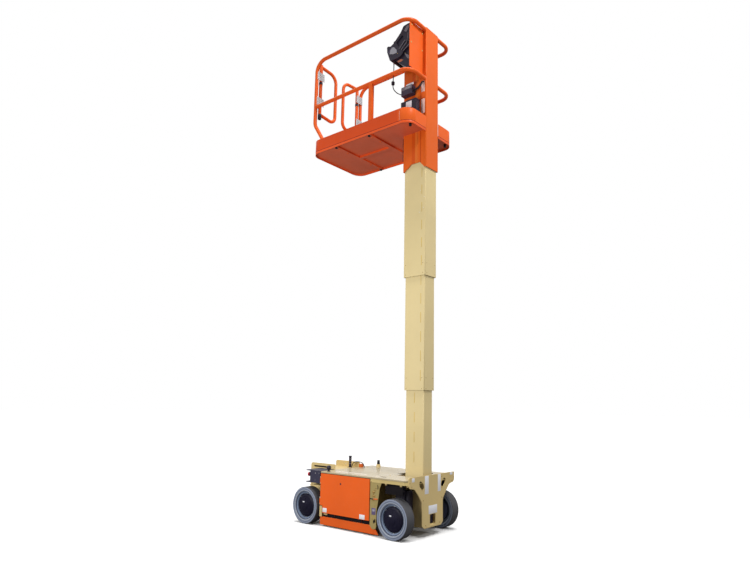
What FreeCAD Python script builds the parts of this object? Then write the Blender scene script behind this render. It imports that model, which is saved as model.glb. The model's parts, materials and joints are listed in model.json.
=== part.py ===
import FreeCAD, Part
import math
import os
import Sketcher
from FreeCAD import Placement, Rotation, Vector

# Vertical mast lift, mast raised. Millimetres. +X points to the mast end, +Z up.
# The origin lies on the ground, midway between the axles and between the two sides.
doc = FreeCAD.newDocument("mast_lift")
sheet = doc.addObject("Spreadsheet::Sheet", "Sizes")

# Driving sizes: alias and value
SIZES = [
    ("wheel_diameter", 325), ("tyre_width", 100), ("rim_diameter", 250), ("drum_diameter", 186),
    ("wheelbase", 1040), ("overall_width", 760), ("spindle_diameter", 50), ("running_gap", 0.05),
    ("kingpin_spread", 524), ("kingpin_diameter", 40), ("knuckle_thickness", 16), ("pivot_top", 438),
    ("deck_top", 478), ("deck_sheet", 5), ("deck_rear", -345), ("chassis_front", 655), ("body_half_width", 360),
    ("frame_sheet", 6), ("floor_bottom", 76), ("bay_front", 300), ("tub_rear", -666), ("tub_half_width", 175),
    ("tub_plate_top", 525),
    ("tub_bottom", 200), ("well_rear", 360), ("well_half_width", 110), ("arch_roof", 438),
    ("door_rear", -343), ("door_length", 600), ("door_bottom", 120), ("door_height", 341), ("door_sheet", 4),
    ("deck_lip", 12), ("tread_sheet", 3), ("seam", 3), ("corner_outer", 9), ("corner_inner", 3),
    ("guard_bottom", 15), ("guard_height", 70), ("guard_lift", 50), ("guard_sheet", 4),
    ("mast_x", 510), ("stage_rise", 1035), ("mast_foot", 96), ("mast_wall", 6), ("sleeve_step", 24),
    ("stage_one_length", 200), ("stage_one_width", 130), ("stage_one_top", 1470),
    ("stage_two_bottom", 1217), ("sleeve_height", 1285), ("carriage_bottom", 3288), ("column_top", 4723),
    ("platform_rear", -636), ("platform_front", 648), ("platform_width", 736), ("corner_radius", 105),
    ("floor_top", 3660), ("floor_sheet", 4), ("pan_bottom", 3635), ("toe_top", 3785), ("toe_sheet", 4),
    ("rail_diameter", 38), ("rail_top", 4704), ("rail_mid", 4184), ("rail_half_width", 345),
    ("rail_rear", -623), ("gate_tube", 36), ("gate_top", 4700), ("gate_bottom", 4086), ("gate_hinge", 286),
    ("gate_free", 60),
    ("plate_x", 600),
]
for row, (alias, value) in enumerate(SIZES, start=1):
    sheet.set(f"A{row}", alias.replace("_", " "))
    sheet.set(f"B{row}", str(value))
    sheet.setAlias(f"B{row}", alias)
doc.recompute()


def size(alias):
    return float(sheet.get(alias))


def cell(expression):
    """Turn alias names in an expression into references to the sheet."""
    words = sorted((alias for alias, value in SIZES), key=len, reverse=True)
    for word in words:
        expression = expression.replace("$" + word, "Sizes." + word)
    return expression


def new_body(label):
    body = doc.addObject("PartDesign::Body", label)
    body.Label = label
    return body


def new_sketch(body, role, shift="0"):
    """Sketch on one of the body's own origin planes, moved along that plane's normal."""
    plane = [item for item in body.Origin.OriginFeatures if item.Role == role][0]
    sketch = body.newObject("Sketcher::SketchObject", body.Label + "_sketch")
    sketch.AttachmentSupport = (plane, [""])
    sketch.MapMode = "FlatFace"
    sketch.setExpression(".AttachmentOffset.Base.z", cell(shift))
    return sketch


def outline(sketch, corners):
    """Closed outline through (x, y, radius) corners; a radius above zero rounds its corner."""
    points = [Vector(x, y, 0) for x, y, radius in corners]
    count = len(corners)
    stretches = []
    for index, (x, y, radius) in enumerate(corners):
        here = points[index]
        back = (points[index - 1] - here).normalize()
        ahead = (points[(index + 1) % count] - here).normalize()
        if radius <= 0:
            stretches.append((here, None, here))
            continue
        half = back.getAngle(ahead) / 2
        reach = radius / math.tan(half)
        centre = here + (back + ahead).normalize() * (radius / math.sin(half))
        middle = centre + (here - centre).normalize() * radius
        stretches.append((here + back * reach, middle, here + ahead * reach))
    edges = []
    for index, (start, middle, end) in enumerate(stretches):
        if middle is not None:
            edges.append(Part.Arc(start, middle, end))
        following = stretches[(index + 1) % count][0]
        if (following - end).Length > 1e-6:
            edges.append(Part.LineSegment(end, following))
    for edge in edges:
        sketch.addGeometry(edge, False)


def circle(sketch, x, y, radius):
    """Round outline whose radius follows an expression of the sheet."""
    value = float(doc.getObject(sketch.Name).evalExpression(cell(radius)))
    item = sketch.addGeometry(Part.Circle(Vector(x, y, 0), Vector(0, 0, 1), value), False)
    number = sketch.addConstraint(Sketcher.Constraint("Radius", item, value))
    sketch.setExpression(f"Constraints[{number}]", cell(radius))


def slot(sketch, x, y, width, height, radius):
    """Upright rounded rectangle round its centre."""
    left = x - width / 2
    low = y - height / 2
    outline(sketch, [(left, low, radius), (left + width, low, radius), (left + width, low + height, radius),
                     (left, low + height, radius)])


def pad(body, sketch, length, both_ways=False, backwards=False):
    feature = body.newObject("PartDesign::Pad", body.Label + "_pad")
    feature.Profile = sketch
    feature.setExpression("Length", cell(length))
    feature.Midplane = both_ways
    feature.Reversed = backwards
    body.Tip = feature
    doc.recompute()
    return feature


def pocket(body, sketch, length, both_ways=False, backwards=False):
    """Cut a sketch into the body and check that something was cut."""
    before = body.Shape.Volume
    feature = body.newObject("PartDesign::Pocket", body.Label + "_pocket")
    feature.Profile = sketch
    feature.setExpression("Length", cell(length))
    feature.Midplane = both_ways
    feature.Reversed = backwards
    body.Tip = feature
    doc.recompute()
    if body.Shape.Volume > before - 1:
        raise RuntimeError(f"{body.Label}: a pocket cut nothing")
    return feature


def revolve(body, sketch, axis):
    feature = body.newObject("PartDesign::Revolution", body.Label + "_turn")
    feature.Profile = sketch
    feature.ReferenceAxis = (sketch, [axis])
    feature.Angle = 360
    body.Tip = feature
    doc.recompute()
    return feature


def box(name, corner, extent):
    """Box whose corner and extent are expressions of the sheet."""
    item = doc.addObject("Part::Box", name)
    for axis, value in zip("xyz", corner):
        item.setExpression(f".Placement.Base.{axis}", cell(value))
    for side, value in zip(("Length", "Width", "Height"), extent):
        item.setExpression(side, cell(value))
    return item


def cylinder(name, centre, radius, height, direction=Vector(0, 0, 1)):
    item = doc.addObject("Part::Cylinder", name)
    item.Placement = Placement(Vector(0, 0, 0), Rotation(Vector(0, 0, 1), direction))
    for axis, value in zip("xyz", centre):
        item.setExpression(f".Placement.Base.{axis}", cell(value))
    item.setExpression("Radius", cell(radius))
    item.setExpression("Height", cell(height))
    return item


def fuse(label, pieces):
    item = doc.addObject("Part::MultiFuse", label)
    item.Label = label
    item.Shapes = pieces
    item.Refine = True
    doc.recompute()
    return item


def cut(label, base, tool):
    item = doc.addObject("Part::Cut", label)
    item.Label = label
    item.Base = base
    item.Tool = tool
    doc.recompute()
    return item


def mirrored(label, source):
    """The same piece on the other side of the lift."""
    item = doc.addObject("Part::Mirroring", label)
    item.Label = label
    item.Source = source
    item.Normal = Vector(0, 1, 0)
    doc.recompute()
    return item


def bent_path(points, radii):
    """Wire of straight runs joined by tangent arcs; one radius for each inner point."""
    edges = []
    start = points[0]
    for index, radius in enumerate(radii, start=1):
        here = points[index]
        back = (points[index - 1] - here).normalize()
        ahead = (points[index + 1] - here).normalize()
        half = back.getAngle(ahead) / 2
        reach = radius / math.tan(half)
        centre = here + (back + ahead).normalize() * (radius / math.sin(half))
        middle = centre + (here - centre).normalize() * radius
        entry = here + back * reach
        leave = here + ahead * reach
        if (entry - start).Length > 1e-6:
            edges.append(Part.LineSegment(start, entry).toShape())
        edges.append(Part.Arc(entry, middle, leave).toShape())
        start = leave
    edges.append(Part.LineSegment(start, points[-1]).toShape())
    return Part.Wire(edges)


def bent_tube(points, radii, diameter):
    """Solid round tube along a bent path, as a rail is bent from one length."""
    path = bent_path(points, radii)
    heading = (points[1] - points[0]).normalize()
    ring = Part.Wire(Part.Circle(points[0], heading, diameter / 2).toShape())
    tube = path.makePipeShell([ring], True, False)
    expected = math.pi * diameter ** 2 / 4 * path.Length
    if abs(tube.Volume - expected) > 0.02 * expected:
        raise RuntimeError("a bent tube has the wrong volume")
    return tube


def cable(points, diameter):
    """Round cable along a route; each bend is as wide as its two runs allow."""
    radii = []
    for index in range(1, len(points) - 1):
        back = points[index - 1] - points[index]
        ahead = points[index + 1] - points[index]
        turn = math.pi - back.getAngle(ahead)
        radii.append(0.45 * min(back.Length, ahead.Length) / math.tan(turn / 2))
    print("cable bends", [round(radius) for radius in radii])
    return bent_tube(points, radii, diameter)


def shaped(label, shape):
    item = doc.addObject("Part::Feature", label)
    item.Label = label
    item.Shape = shape
    item.Placement = Placement()
    return item


nodes = []


def keep(item):
    nodes.append(item)
    return item


def at(item, position, rotation=Rotation()):
    """Place a finished piece; the position holds expressions of the sheet."""
    item.Placement = Placement(Vector(0, 0, 0), rotation)
    for axis, value in zip("xyz", position):
        item.setExpression(f".Placement.Base.{axis}", cell(value))
    return item


# Wheels: solid tyre on a dished rim with its hub drum
AXLE_HEIGHT = "$wheel_diameter / 2"
WHEEL_Y = "($overall_width - $tyre_width) / 2"
# name, x sign along the wheelbase, side (-1 is the near side)
WHEELS = [("front_right", 1, -1), ("front_left", 1, 1), ("rear_right", -1, -1), ("rear_left", -1, 1)]


def tyre(label):
    """Solid tyre: flat tread, rounded shoulders and a moulded ring in each sidewall."""
    body = new_body(label)
    sketch = new_sketch(body, "XY_Plane")
    outer = size("wheel_diameter") / 2
    inner = size("rim_diameter") / 2
    half = size("tyre_width") / 2
    # radius, distance from the mid plane, corner radius; the other side is the same list reversed
    side = [(inner, half - 6, 0), (inner + 6, half - 1, 0), (inner + 16, half - 1, 0), (inner + 18, half - 3, 0),
            (inner + 21, half - 3, 0), (inner + 23, half, 0), (outer - 4, half - 1, 0), (outer, half - 5, 3)]
    outline(sketch, side + [(radius, -y, corner) for radius, y, corner in reversed(side)])
    revolve(body, sketch, "V_Axis")
    return body


def rim(label):
    """Rim barrel with its flanges, the dished disc and the domed hub drum. Outboard is +Y."""
    body = new_body(label)
    sketch = new_sketch(body, "XY_Plane")
    edge = size("rim_diameter") / 2
    drum = size("drum_diameter") / 2
    bore = size("spindle_diameter") / 2 + size("running_gap")
    outline(sketch, [(0, 24, 0), (bore, 24, 0), (bore, -40, 0), (drum, -40, 0), (drum, -2, 0), (edge - 8, -2, 0),
                     (edge - 8, -44, 0), (edge, -44, 0), (edge, 44, 0), (edge - 1, 45, 0), (edge - 6, 45, 0),
                     (edge - 8, 36, 0), (edge - 15, 34, 0), (edge - 20, 18, 0), (drum + 2, 15, 0), (drum, 17, 0),
                     (drum, 30, 0), (drum - 4, 34, 0), (drum - 26, 39, 0), (34, 44, 0), (32, 47, 0), (0, 47, 0)])
    revolve(body, sketch, "V_Axis")
    return body


for name, end, side in WHEELS:
    turned = Rotation(Vector(0, 0, 1), 0 if side > 0 else 180)
    place = (f"{end} * $wheelbase / 2", f"{side} * {WHEEL_Y}", AXLE_HEIGHT)
    keep(at(tyre("tyre_" + name), place, turned))
    keep(at(rim("rim_" + name), place, turned))


# Steering knuckles: kingpin, boss, plate and wheel spindle
def knuckle(label):
    """Right knuckle: the kingpin stands over the plate, the spindle points outboard."""
    kingpin_y = "-$kingpin_spread / 2"
    plate_top = 372
    boss_height = 25
    body = new_body(label + "_plate")
    sketch = new_sketch(body, "XZ_Plane", "$kingpin_spread / 2 - 6")
    middle = size("wheelbase") / 2
    axle = size("wheel_diameter") / 2
    outline(sketch, [(middle - 52, axle - 52, 51), (middle + 52, axle - 52, 51), (middle + 52, axle + 20, 0),
                     (middle + 40, plate_top, 0), (middle - 40, plate_top, 0), (middle - 52, axle + 20, 0)])
    pad(body, sketch, "$knuckle_thickness")
    boss = cylinder(label + "_boss", ("$wheelbase / 2", kingpin_y, str(plate_top)), "44", str(boss_height))
    pin = cylinder(label + "_kingpin", ("$wheelbase / 2", kingpin_y, str(plate_top + boss_height)),
                   "$kingpin_diameter / 2", f"$pivot_top - {plate_top + boss_height}")
    spindle = cylinder(label + "_spindle", ("$wheelbase / 2", "-$kingpin_spread / 2 - 8", AXLE_HEIGHT),
                       "$spindle_diameter / 2", "80", Vector(0, -1, 0))
    return fuse(label, [body, boss, pin, spindle])


def drive_motor(label):
    """Wheel motor on the knuckle's inner face, with its end cap and terminal box."""
    start = "-$kingpin_spread / 2 + 10"
    drum = cylinder(label + "_drum", ("$wheelbase / 2", start, AXLE_HEIGHT), "50", "62", Vector(0, 1, 0))
    cap = cylinder(label + "_cap", ("$wheelbase / 2", start + " + 62", AXLE_HEIGHT), "40", "14", Vector(0, 1, 0))
    terminals = box(label + "_terminals", ("$wheelbase / 2 - 22", start + " + 8", "$wheel_diameter / 2 + 40"),
                    ("44", "40", "24"))
    return fuse(label, [drum, cap, terminals])


knuckle_right = keep(knuckle("steering_knuckle_right"))
motor_right = keep(drive_motor("drive_motor_right"))
keep(mirrored("steering_knuckle_left", knuckle_right))
keep(mirrored("drive_motor_left", motor_right))


# Rear axle: square beam under the tub with a round spindle at each end
beam = box("axle_beam", ("-$wheelbase / 2 - 34", "-262", "$wheel_diameter / 2 - 30"),
           ("68", "524", "$tub_bottom - $wheel_diameter / 2 + 30"))
spindles = [cylinder(f"axle_spindle_{side}", ("-$wheelbase / 2", f"{side} * 262", AXLE_HEIGHT),
                     "$spindle_diameter / 2", "88", Vector(0, side, 0)) for side in (-1, 1)]
keep(fuse("rear_axle", [beam] + spindles))


# Door hinges: levels of the frame's lugs and of the door's barrels between them
HINGE_Y = "($body_half_width - $door_sheet)"
LUG_LEVELS = (190, 241, 370, 421)
BARREL_LEVELS = (200, 380)
# Half width of the floor frame, and the rear edge of the column strips
FRAME_HALF = size("body_half_width") - 24
COLUMN_X = 263
# Rear faces of the pothole guard's guide posts, in pairs beside each tongue
GUARD_GUIDES = (-208, -152, 112, 168)


def mast_well():
    """Two spine walls from the tub to the end plate, joined behind the mast."""
    rear = size("deck_rear") + 2 * size("frame_sheet")
    front = size("chassis_front")
    low = size("floor_bottom") + size("frame_sheet")
    wall_top = size("deck_top") - size("deck_sheet")
    lip_low = size("deck_top") - size("deck_lip") - 2
    pieces = []
    for side in (-1, 1):
        wall = new_body("spine_wall_" + ("left" if side > 0 else "right"))
        sketch = new_sketch(wall, "XZ_Plane", f"{-side} * ($well_half_width + $frame_sheet / 2)")
        outline(sketch, [(rear, low, 0), (front, low, 0), (front, lip_low, 0),
                         (front - 9, lip_low, 0), (front - 9, wall_top, 0), (rear, wall_top, 0)])
        pad(wall, sketch, "$frame_sheet", both_ways=True)
        pieces.append(wall)
    pieces.append(box("well_back", ("$well_rear - $frame_sheet", "-$well_half_width - 2", str(low)),
                      ("$frame_sheet", "2 * $well_half_width + 4", str(wall_top - low))))
    return fuse("mast_well", pieces)


def wheel_arch(label, side):
    """Roof, wall and slotted column strip round a steered wheel."""
    half = FRAME_HALF
    front = size("chassis_front")
    back = size("bay_front")
    lip_low = size("deck_top") - size("deck_lip") - 2
    inner = size("well_half_width") + size("frame_sheet")
    roof = new_body(label + "_roof")
    sketch = new_sketch(roof, "XY_Plane", "$arch_roof")
    flange = size("body_half_width") - 8
    outline(sketch, [(x, side * y, 0) for x, y in ((back, inner), (front, inner), (front, 330), (front - 30, flange),
                                                  (back + 6, flange), (back + 6, half), (back, half))])
    circle(sketch, size("wheelbase") / 2, side * size("kingpin_spread") / 2, "$kingpin_diameter / 2 + 6")
    pad(roof, sketch, "$frame_sheet")
    wall = box(label + "_wall", ("$bay_front", str(min(side * inner, side * half)), "$floor_bottom"),
               ("$frame_sheet", str(half - inner), "$deck_top - $deck_sheet - $floor_bottom"))
    rail = box(label + "_rail", (str(COLUMN_X), str(min(side * 356, side * 350)), "$arch_roof"),
               (str(front - 30 - COLUMN_X), "6", f"{lip_low} - $arch_roof"))
    column = new_body(label + "_column")
    sketch = new_sketch(column, "XZ_Plane", f"{-side} * ($body_half_width - 6)")
    outline(sketch, [(COLUMN_X, lip_low, 0), (COLUMN_X, 84, 12), (290, 56, 28), (335, 62, 24), (335, 210, 60),
                     (352, 290, 120), (366, 390, 60), (392, 446, 0), (392, lip_low, 0)])
    # x, z, width, height and corner radius of each opening in the strip
    for x, z, width, height, radius in ((357, 400, 5, 26, 2), (306, 364, 16, 7, 2), (306, 330, 16, 7, 2),
                                        (300, 178, 12, 7, 2), (321, 127, 14, 32, 6.5)):
        slot(sketch, x, z, width, height, radius)
    circle(sketch, 336, 388, "3")
    pad(column, sketch, "4", both_ways=True)
    fold = box(label + "_fold", (str(COLUMN_X), str(min(side * 352, side * 300)), "144"), ("4", "52", f"{lip_low} - 144"))
    # closing strip between the rail's front end and the end plate
    strip = new_body(label + "_strip")
    sketch = new_sketch(strip, "XY_Plane", "$arch_roof")
    outline(sketch, [(front - 36, side * 350, 0), (front - 30, side * 356, 0), (front, side * 336, 0),
                     (front, side * 328, 0)])
    pad(strip, sketch, f"{lip_low} - $arch_roof")
    return fuse(label, [roof, wall, rail, column, fold, strip])


def chassis_frame():
    """Floor plate and rear bay wall, with the guard guides, corner brackets and door hinge lugs."""
    half = FRAME_HALF
    clear = size("guard_bottom") + size("guard_height") + size("guard_lift") + 7
    floor = new_body("floor_plate")
    sketch = new_sketch(floor, "XY_Plane", "$floor_bottom")
    spine = size("well_half_width") + size("frame_sheet")
    bay = size("bay_front")
    outline(sketch, [(size("deck_rear"), -half, 0), (bay, -half, 0), (bay, -spine, 0),
                     (size("chassis_front"), -spine, 0), (size("chassis_front"), spine, 0), (bay, spine, 0),
                     (bay, half, 0), (size("deck_rear"), half, 0)])
    pad(floor, sketch, "$frame_sheet")
    pieces = [floor, box("bay_rear", ("$deck_rear + $frame_sheet", str(-half), "$floor_bottom + $frame_sheet"),
                         ("$frame_sheet", str(2 * half), "$deck_top - $deck_sheet - $floor_bottom - $frame_sheet"))]
    for side in (-1, 1):
        hand = "left" if side > 0 else "right"
        # L-shaped guides beside the pothole guard's tongues
        for number, x in enumerate(GUARD_GUIDES):
            corner = x - 6 if number % 2 == 0 else x
            pieces.append(box(f"guide_post_{hand}_{number}", (str(corner), str(min(side * half, side * (half - 6))),
                              "$floor_bottom"), ("6", "6", f"{clear + 16} - $floor_bottom")))
            pieces.append(box(f"guide_finger_{hand}_{number}", (str(corner), str(min(side * 350, side * (half - 6))),
                              str(clear)), ("6", str(350 - half + 6), "16")))
        # corner bracket in front of the guard's rear end
        pieces.append(box(f"bracket_plate_{hand}", ("-342", str(min(side * 358, side * 352)), "86"), ("30", "6", "90")))
        pieces.append(box(f"bracket_block_{hand}", ("-342", str(min(side * 353, side * (half - 4))), str(clear + 4)),
                          ("30", str(353 - half + 4), str(172 - clear))))
        # door hinge lugs
        for number, z in enumerate(LUG_LEVELS):
            pieces.append(box(f"lug_{hand}_{number}", ("$door_rear - 3", str(min(side * 355, side * (half - 2))), str(z)),
                              ("10", str(355 - half + 2), "9")))
            pieces.append(cylinder(f"lug_barrel_{hand}_{number}", ("$door_rear", f"{side} * {HINGE_Y}", str(z)), "4", "9"))
    return fuse("chassis_frame", pieces)


keep(chassis_frame())
keep(mast_well())
keep(wheel_arch("wheel_arch_right", -1))
keep(wheel_arch("wheel_arch_left", 1))


# Rear tub between the rear wheels, with its two raised side plates
PLUNGER_X = "-382"
PLUNGER_Y = "75"


def rear_tub():
    pieces = []
    reach = size("tub_half_width")
    plate_top = size("tub_plate_top")
    for side in (-1, 1):
        plate = new_body("tub_side_" + ("left" if side > 0 else "right"))
        sketch = new_sketch(plate, "XZ_Plane", f"{-side} * ($tub_half_width - 4)")
        outline(sketch, [(size("tub_rear"), size("tub_bottom"), 25), (size("deck_rear"), size("tub_bottom"), 0),
                         (size("deck_rear"), plate_top, 0), (size("tub_rear"), plate_top, 22)])
        if side < 0:
            slot(sketch, -538, 493.5, 176, 15, 7.4)
        else:
            circle(sketch, -530, 496, "6")
        pad(plate, sketch, "8", both_ways=True)
        pieces.append(plate)
    pieces.append(box("tub_floor", ("$tub_rear + 20", str(-reach), "$tub_bottom"),
                      ("$deck_rear - $tub_rear - 20", str(2 * reach), "8")))
    pieces.append(box("tub_back", ("$tub_rear", str(-reach + 2), "$tub_bottom + 22"),
                      ("8", str(2 * reach - 4), "250")))
    pieces.append(box("tub_lid", ("$tub_rear", str(-reach + 2), "$tub_bottom + 264"),
                      ("$deck_rear - $tub_rear", str(2 * reach - 4), "8")))
    collar = cylinder("plunger_collar", (PLUNGER_X, PLUNGER_Y, "$deck_top - 20"), "22", "20")
    whole = fuse("rear_tub_shell", pieces + [collar])
    bore = cylinder("plunger_bore", (PLUNGER_X, PLUNGER_Y, "$deck_top - 40"), "13 + $running_gap", "60")
    return cut("rear_tub", whole, bore)


keep(rear_tub())
weight = box("counterweight", ("$tub_rear + 16", "-160", "$tub_bottom + 10"),
             ("$deck_rear - $tub_rear - 24", "320", "150"))
keep(weight)


# Deck plate with the mast opening and a folded lip
def deck_plate():
    body = new_body("deck_plate")
    half = size("body_half_width")
    sheet_mm = size("deck_sheet")
    front = size("chassis_front")
    rear = size("deck_rear")
    sketch = new_sketch(body, "XY_Plane", "$deck_top - $deck_lip")
    outline(sketch, [(rear, -half, 10), (front, -half, 45), (front, half, 45), (rear, half, 10)])
    pad(body, sketch, "$deck_lip")
    # the underside is hollow inside a folded lip
    under = new_sketch(body, "XY_Plane", "$deck_top - $deck_lip")
    outline(under, [(rear + sheet_mm, -half + sheet_mm, 5), (front - sheet_mm, -half + sheet_mm, 40),
                    (front - sheet_mm, half - sheet_mm, 40), (rear + sheet_mm, half - sheet_mm, 5)])
    pocket(body, under, "$deck_lip - $deck_sheet", backwards=True)
    # mast opening, open to the end plate, with a narrower bay behind the mast
    well = new_sketch(body, "XY_Plane", "$deck_top - $deck_lip")
    reach = size("well_half_width")
    back = size("well_rear")
    outline(well, [(back - 70, -30, 6), (back, -30, 0), (back, -reach, 6), (front + 20, -reach, 0),
                   (front + 20, reach, 0), (back, reach, 6), (back, 90, 0), (back - 70, 90, 6)])
    pocket(body, well, "$deck_lip", backwards=True)
    return body


keep(deck_plate())


# Y-shaped end plate with lens slots and a service opening
def front_end_plate():
    body = new_body("front_end_plate")
    sketch = new_sketch(body, "YZ_Plane", "$chassis_front")
    # half outline from the bottom centre outwards: y, z, corner radius
    half = [(122, 74, 26), (152, 98, 0), (152, 285, 50), (200, 345, 60), (256, 402, 40), (318, 412, 10),
            (334, 432, 8), (334, 500, 8)]
    outline(sketch, half + [(-y, z, radius) for y, z, radius in reversed(half)])
    pad(body, sketch, "8")
    slots = new_sketch(body, "YZ_Plane", "$chassis_front")
    for side in (-1, 1):
        outline(slots, [(side * 174, 462, 8), (side * 198, 448, 10), (side * 188, 416, 20), (side * 148, 380, 8),
                        (side * 122, 402, 12), (side * 134, 434, 24)])
    outline(slots, [(-41, 91, 4), (41, 91, 4), (41, 178, 4), (-41, 178, 4)])
    pocket(body, slots, "8", backwards=True)
    return body


keep(front_end_plate())


# Ground control channel, its mushroom button and the bracket over the rear wheel
def control_channel():
    body = new_body("ground_control_box")
    sketch = new_sketch(body, "XZ_Plane", "$body_half_width - 6")
    outline(sketch, [(-540, 368, 4), (-352, 368, 0), (-352, 480, 0), (-540, 480, 4), (-540, 472, 0),
                     (-486, 472, 3), (-486, 376, 3), (-540, 376, 0)])
    pad(body, sketch, "$body_half_width - 6 - $tub_half_width", backwards=True)
    return body


channel = keep(control_channel())
stem = cylinder("stop_stem", ("-486", "-342", "440"), "9", "14", Vector(-1, 0, 0))
head = cylinder("stop_head", ("-500", "-342", "440"), "19", "12", Vector(-1, 0, 0))
keep(fuse("stop_button", [stem, head]))
keep(box("wheel_bracket", ("-488", "-354", "342"), ("136", "179", "8")))


# Batteries and the hydraulic unit, as plain blocks at their places behind the doors
def blocks(label, spans, corner_y, extent_y, height):
    pieces = [box(f"{label}_{start}", (str(start), str(corner_y), "$floor_bottom + $frame_sheet"),
                  (str(length), str(extent_y), str(height))) for start, length in spans]
    return fuse(label, pieces)


keep(blocks("batteries", [(-322, 180), (-132, 180), (58, 180)], -330, 180, 250))
keep(blocks("power_unit", [(-300, 230), (-50, 230)], 150, 180, 240))

# Deck fittings: rubber stop, valve knob, guard plunger
stop = doc.addObject("Part::Cone", "deck_stop")
stop.Label = "deck_stop"
stop.Radius1 = 17
stop.Radius2 = 12
stop.Height = 64
keep(at(stop, ("-209", "300", "$deck_top")))
knob_stem = cylinder("knob_stem", ("-283", "-315", "$deck_top"), "9", "18")
knob_head = cylinder("knob_head", ("-283", "-315", "$deck_top + 18"), "17", "28")
keep(fuse("deck_knob", [knob_stem, knob_head]))
rod = cylinder("plunger_rod", (PLUNGER_X, PLUNGER_Y, "440"), "13", "138")
cap = cylinder("plunger_cap", (PLUNGER_X, PLUNGER_Y, "$deck_top + 100"), "15", "9")
keep(fuse("guard_plunger", [rod, cap]))

# Kingpin housings under the arch roofs
for name, side in (("right", -1), ("left", 1)):
    centre = ("$wheelbase / 2", f"{side} * $kingpin_spread / 2", "402")
    shell = cylinder(f"housing_shell_{name}", centre, "42", "$arch_roof - 402")
    bore = cylinder(f"housing_bore_{name}", centre, "$kingpin_diameter / 2 + $running_gap", "60")
    keep(cut("kingpin_housing_" + name, shell, bore))


# Side doors and pothole guards
def side_door(label):
    """Folded door with a notch round the corner bracket, two flanges and its hinge barrels."""
    body = new_body(label + "_panel")
    sketch = new_sketch(body, "XZ_Plane", "$body_half_width - $door_sheet")
    rear = size("door_rear")
    front = rear + size("door_length")
    bottom = size("door_bottom")
    top = bottom + size("door_height")
    edge = rear + 6
    outline(sketch, [(rear + 38, bottom, 3), (front, bottom, 3), (front, top, 3), (edge, top, 3), (edge, bottom + 62, 3),
                     (rear + 38, bottom + 62, 3)])
    circle(sketch, -86, 388, "9")
    pad(body, sketch, "$door_sheet")
    pieces = [body]
    pieces.append(box(label + "_top_flange", (str(rear + 14), "-$body_half_width + 3", str(top - 4)),
                      (str(front - rear - 14), "6", "4")))
    pieces.append(box(label + "_front_flange", (str(front - 4), "-$body_half_width + 3", str(bottom + 4)),
                      ("4", "6", "$door_height - 4")))
    for number, z in enumerate(BARREL_LEVELS):
        pieces.append(cylinder(f"{label}_barrel_{number}", ("$door_rear", f"-{HINGE_Y}", str(z)), "4", "40"))
        pieces.append(box(f"{label}_strap_{number}", ("$door_rear", "-$body_half_width", str(z)),
                          ("8", "$door_sheet", "40")))
    return fuse(label, pieces)


def pothole_guard(label):
    """Low plate with two guide tongues; its front end slopes to clear the steered wheel."""
    body = new_body(label)
    sketch = new_sketch(body, "XZ_Plane", "$body_half_width - 14")
    bottom = size("guard_bottom")
    top = bottom + size("guard_height")
    crown = top + 74
    outline(sketch, [(-344, bottom, 0), (354, bottom, 0), (300, top, 0), (160, top, 4), (160, crown, 6),
                     (120, crown, 6), (120, top, 4), (-160, top, 4), (-160, crown, 6), (-200, crown, 6),
                     (-200, top, 4), (-344, top, 0)])
    pad(body, sketch, "$guard_sheet", backwards=True)
    return body


door = keep(side_door("side_door_right"))
guard = keep(pothole_guard("pothole_guard_right"))
keep(mirrored("side_door_left", door))
keep(mirrored("pothole_guard_left", guard))


# Mast: each stage is a square sleeve round the one below
COLUMN_REAR = "$mast_x - $stage_one_length / 2 - 1.5 * $sleeve_step"
COLUMN_HALF = "$stage_one_width / 2 + 1.5 * $sleeve_step"


def section(sketch, length, width, radius):
    """Rounded rectangle round the mast's axis."""
    slot(sketch, size("mast_x"), 0, length, width, radius)


def sleeve(label, step, bottom, height):
    """Sleeve number step, counted from the fixed stage."""
    length = size("stage_one_length") + step * size("sleeve_step")
    width = size("stage_one_width") + step * size("sleeve_step")
    wall = size("mast_wall")
    body = new_body(label)
    sketch = new_sketch(body, "XY_Plane", str(bottom))
    section(sketch, length, width, size("corner_outer"))
    section(sketch, length - 2 * wall, width - 2 * wall, size("corner_inner"))
    pad(body, sketch, str(height))
    return body


keep(sleeve("mast_stage_1", 0, size("mast_foot"), size("stage_one_top") - size("mast_foot")))
keep(box("mast_foot_plate", ("$well_rear", "-$well_half_width", "$floor_bottom + $frame_sheet"),
         ("$chassis_front - $well_rear", "2 * $well_half_width", "$mast_foot - $floor_bottom - $frame_sheet")))
keep(sleeve("mast_stage_2", 1, size("stage_two_bottom"), size("sleeve_height")))
keep(sleeve("mast_stage_3", 2, size("stage_two_bottom") + size("stage_rise"), size("sleeve_height")))


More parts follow.
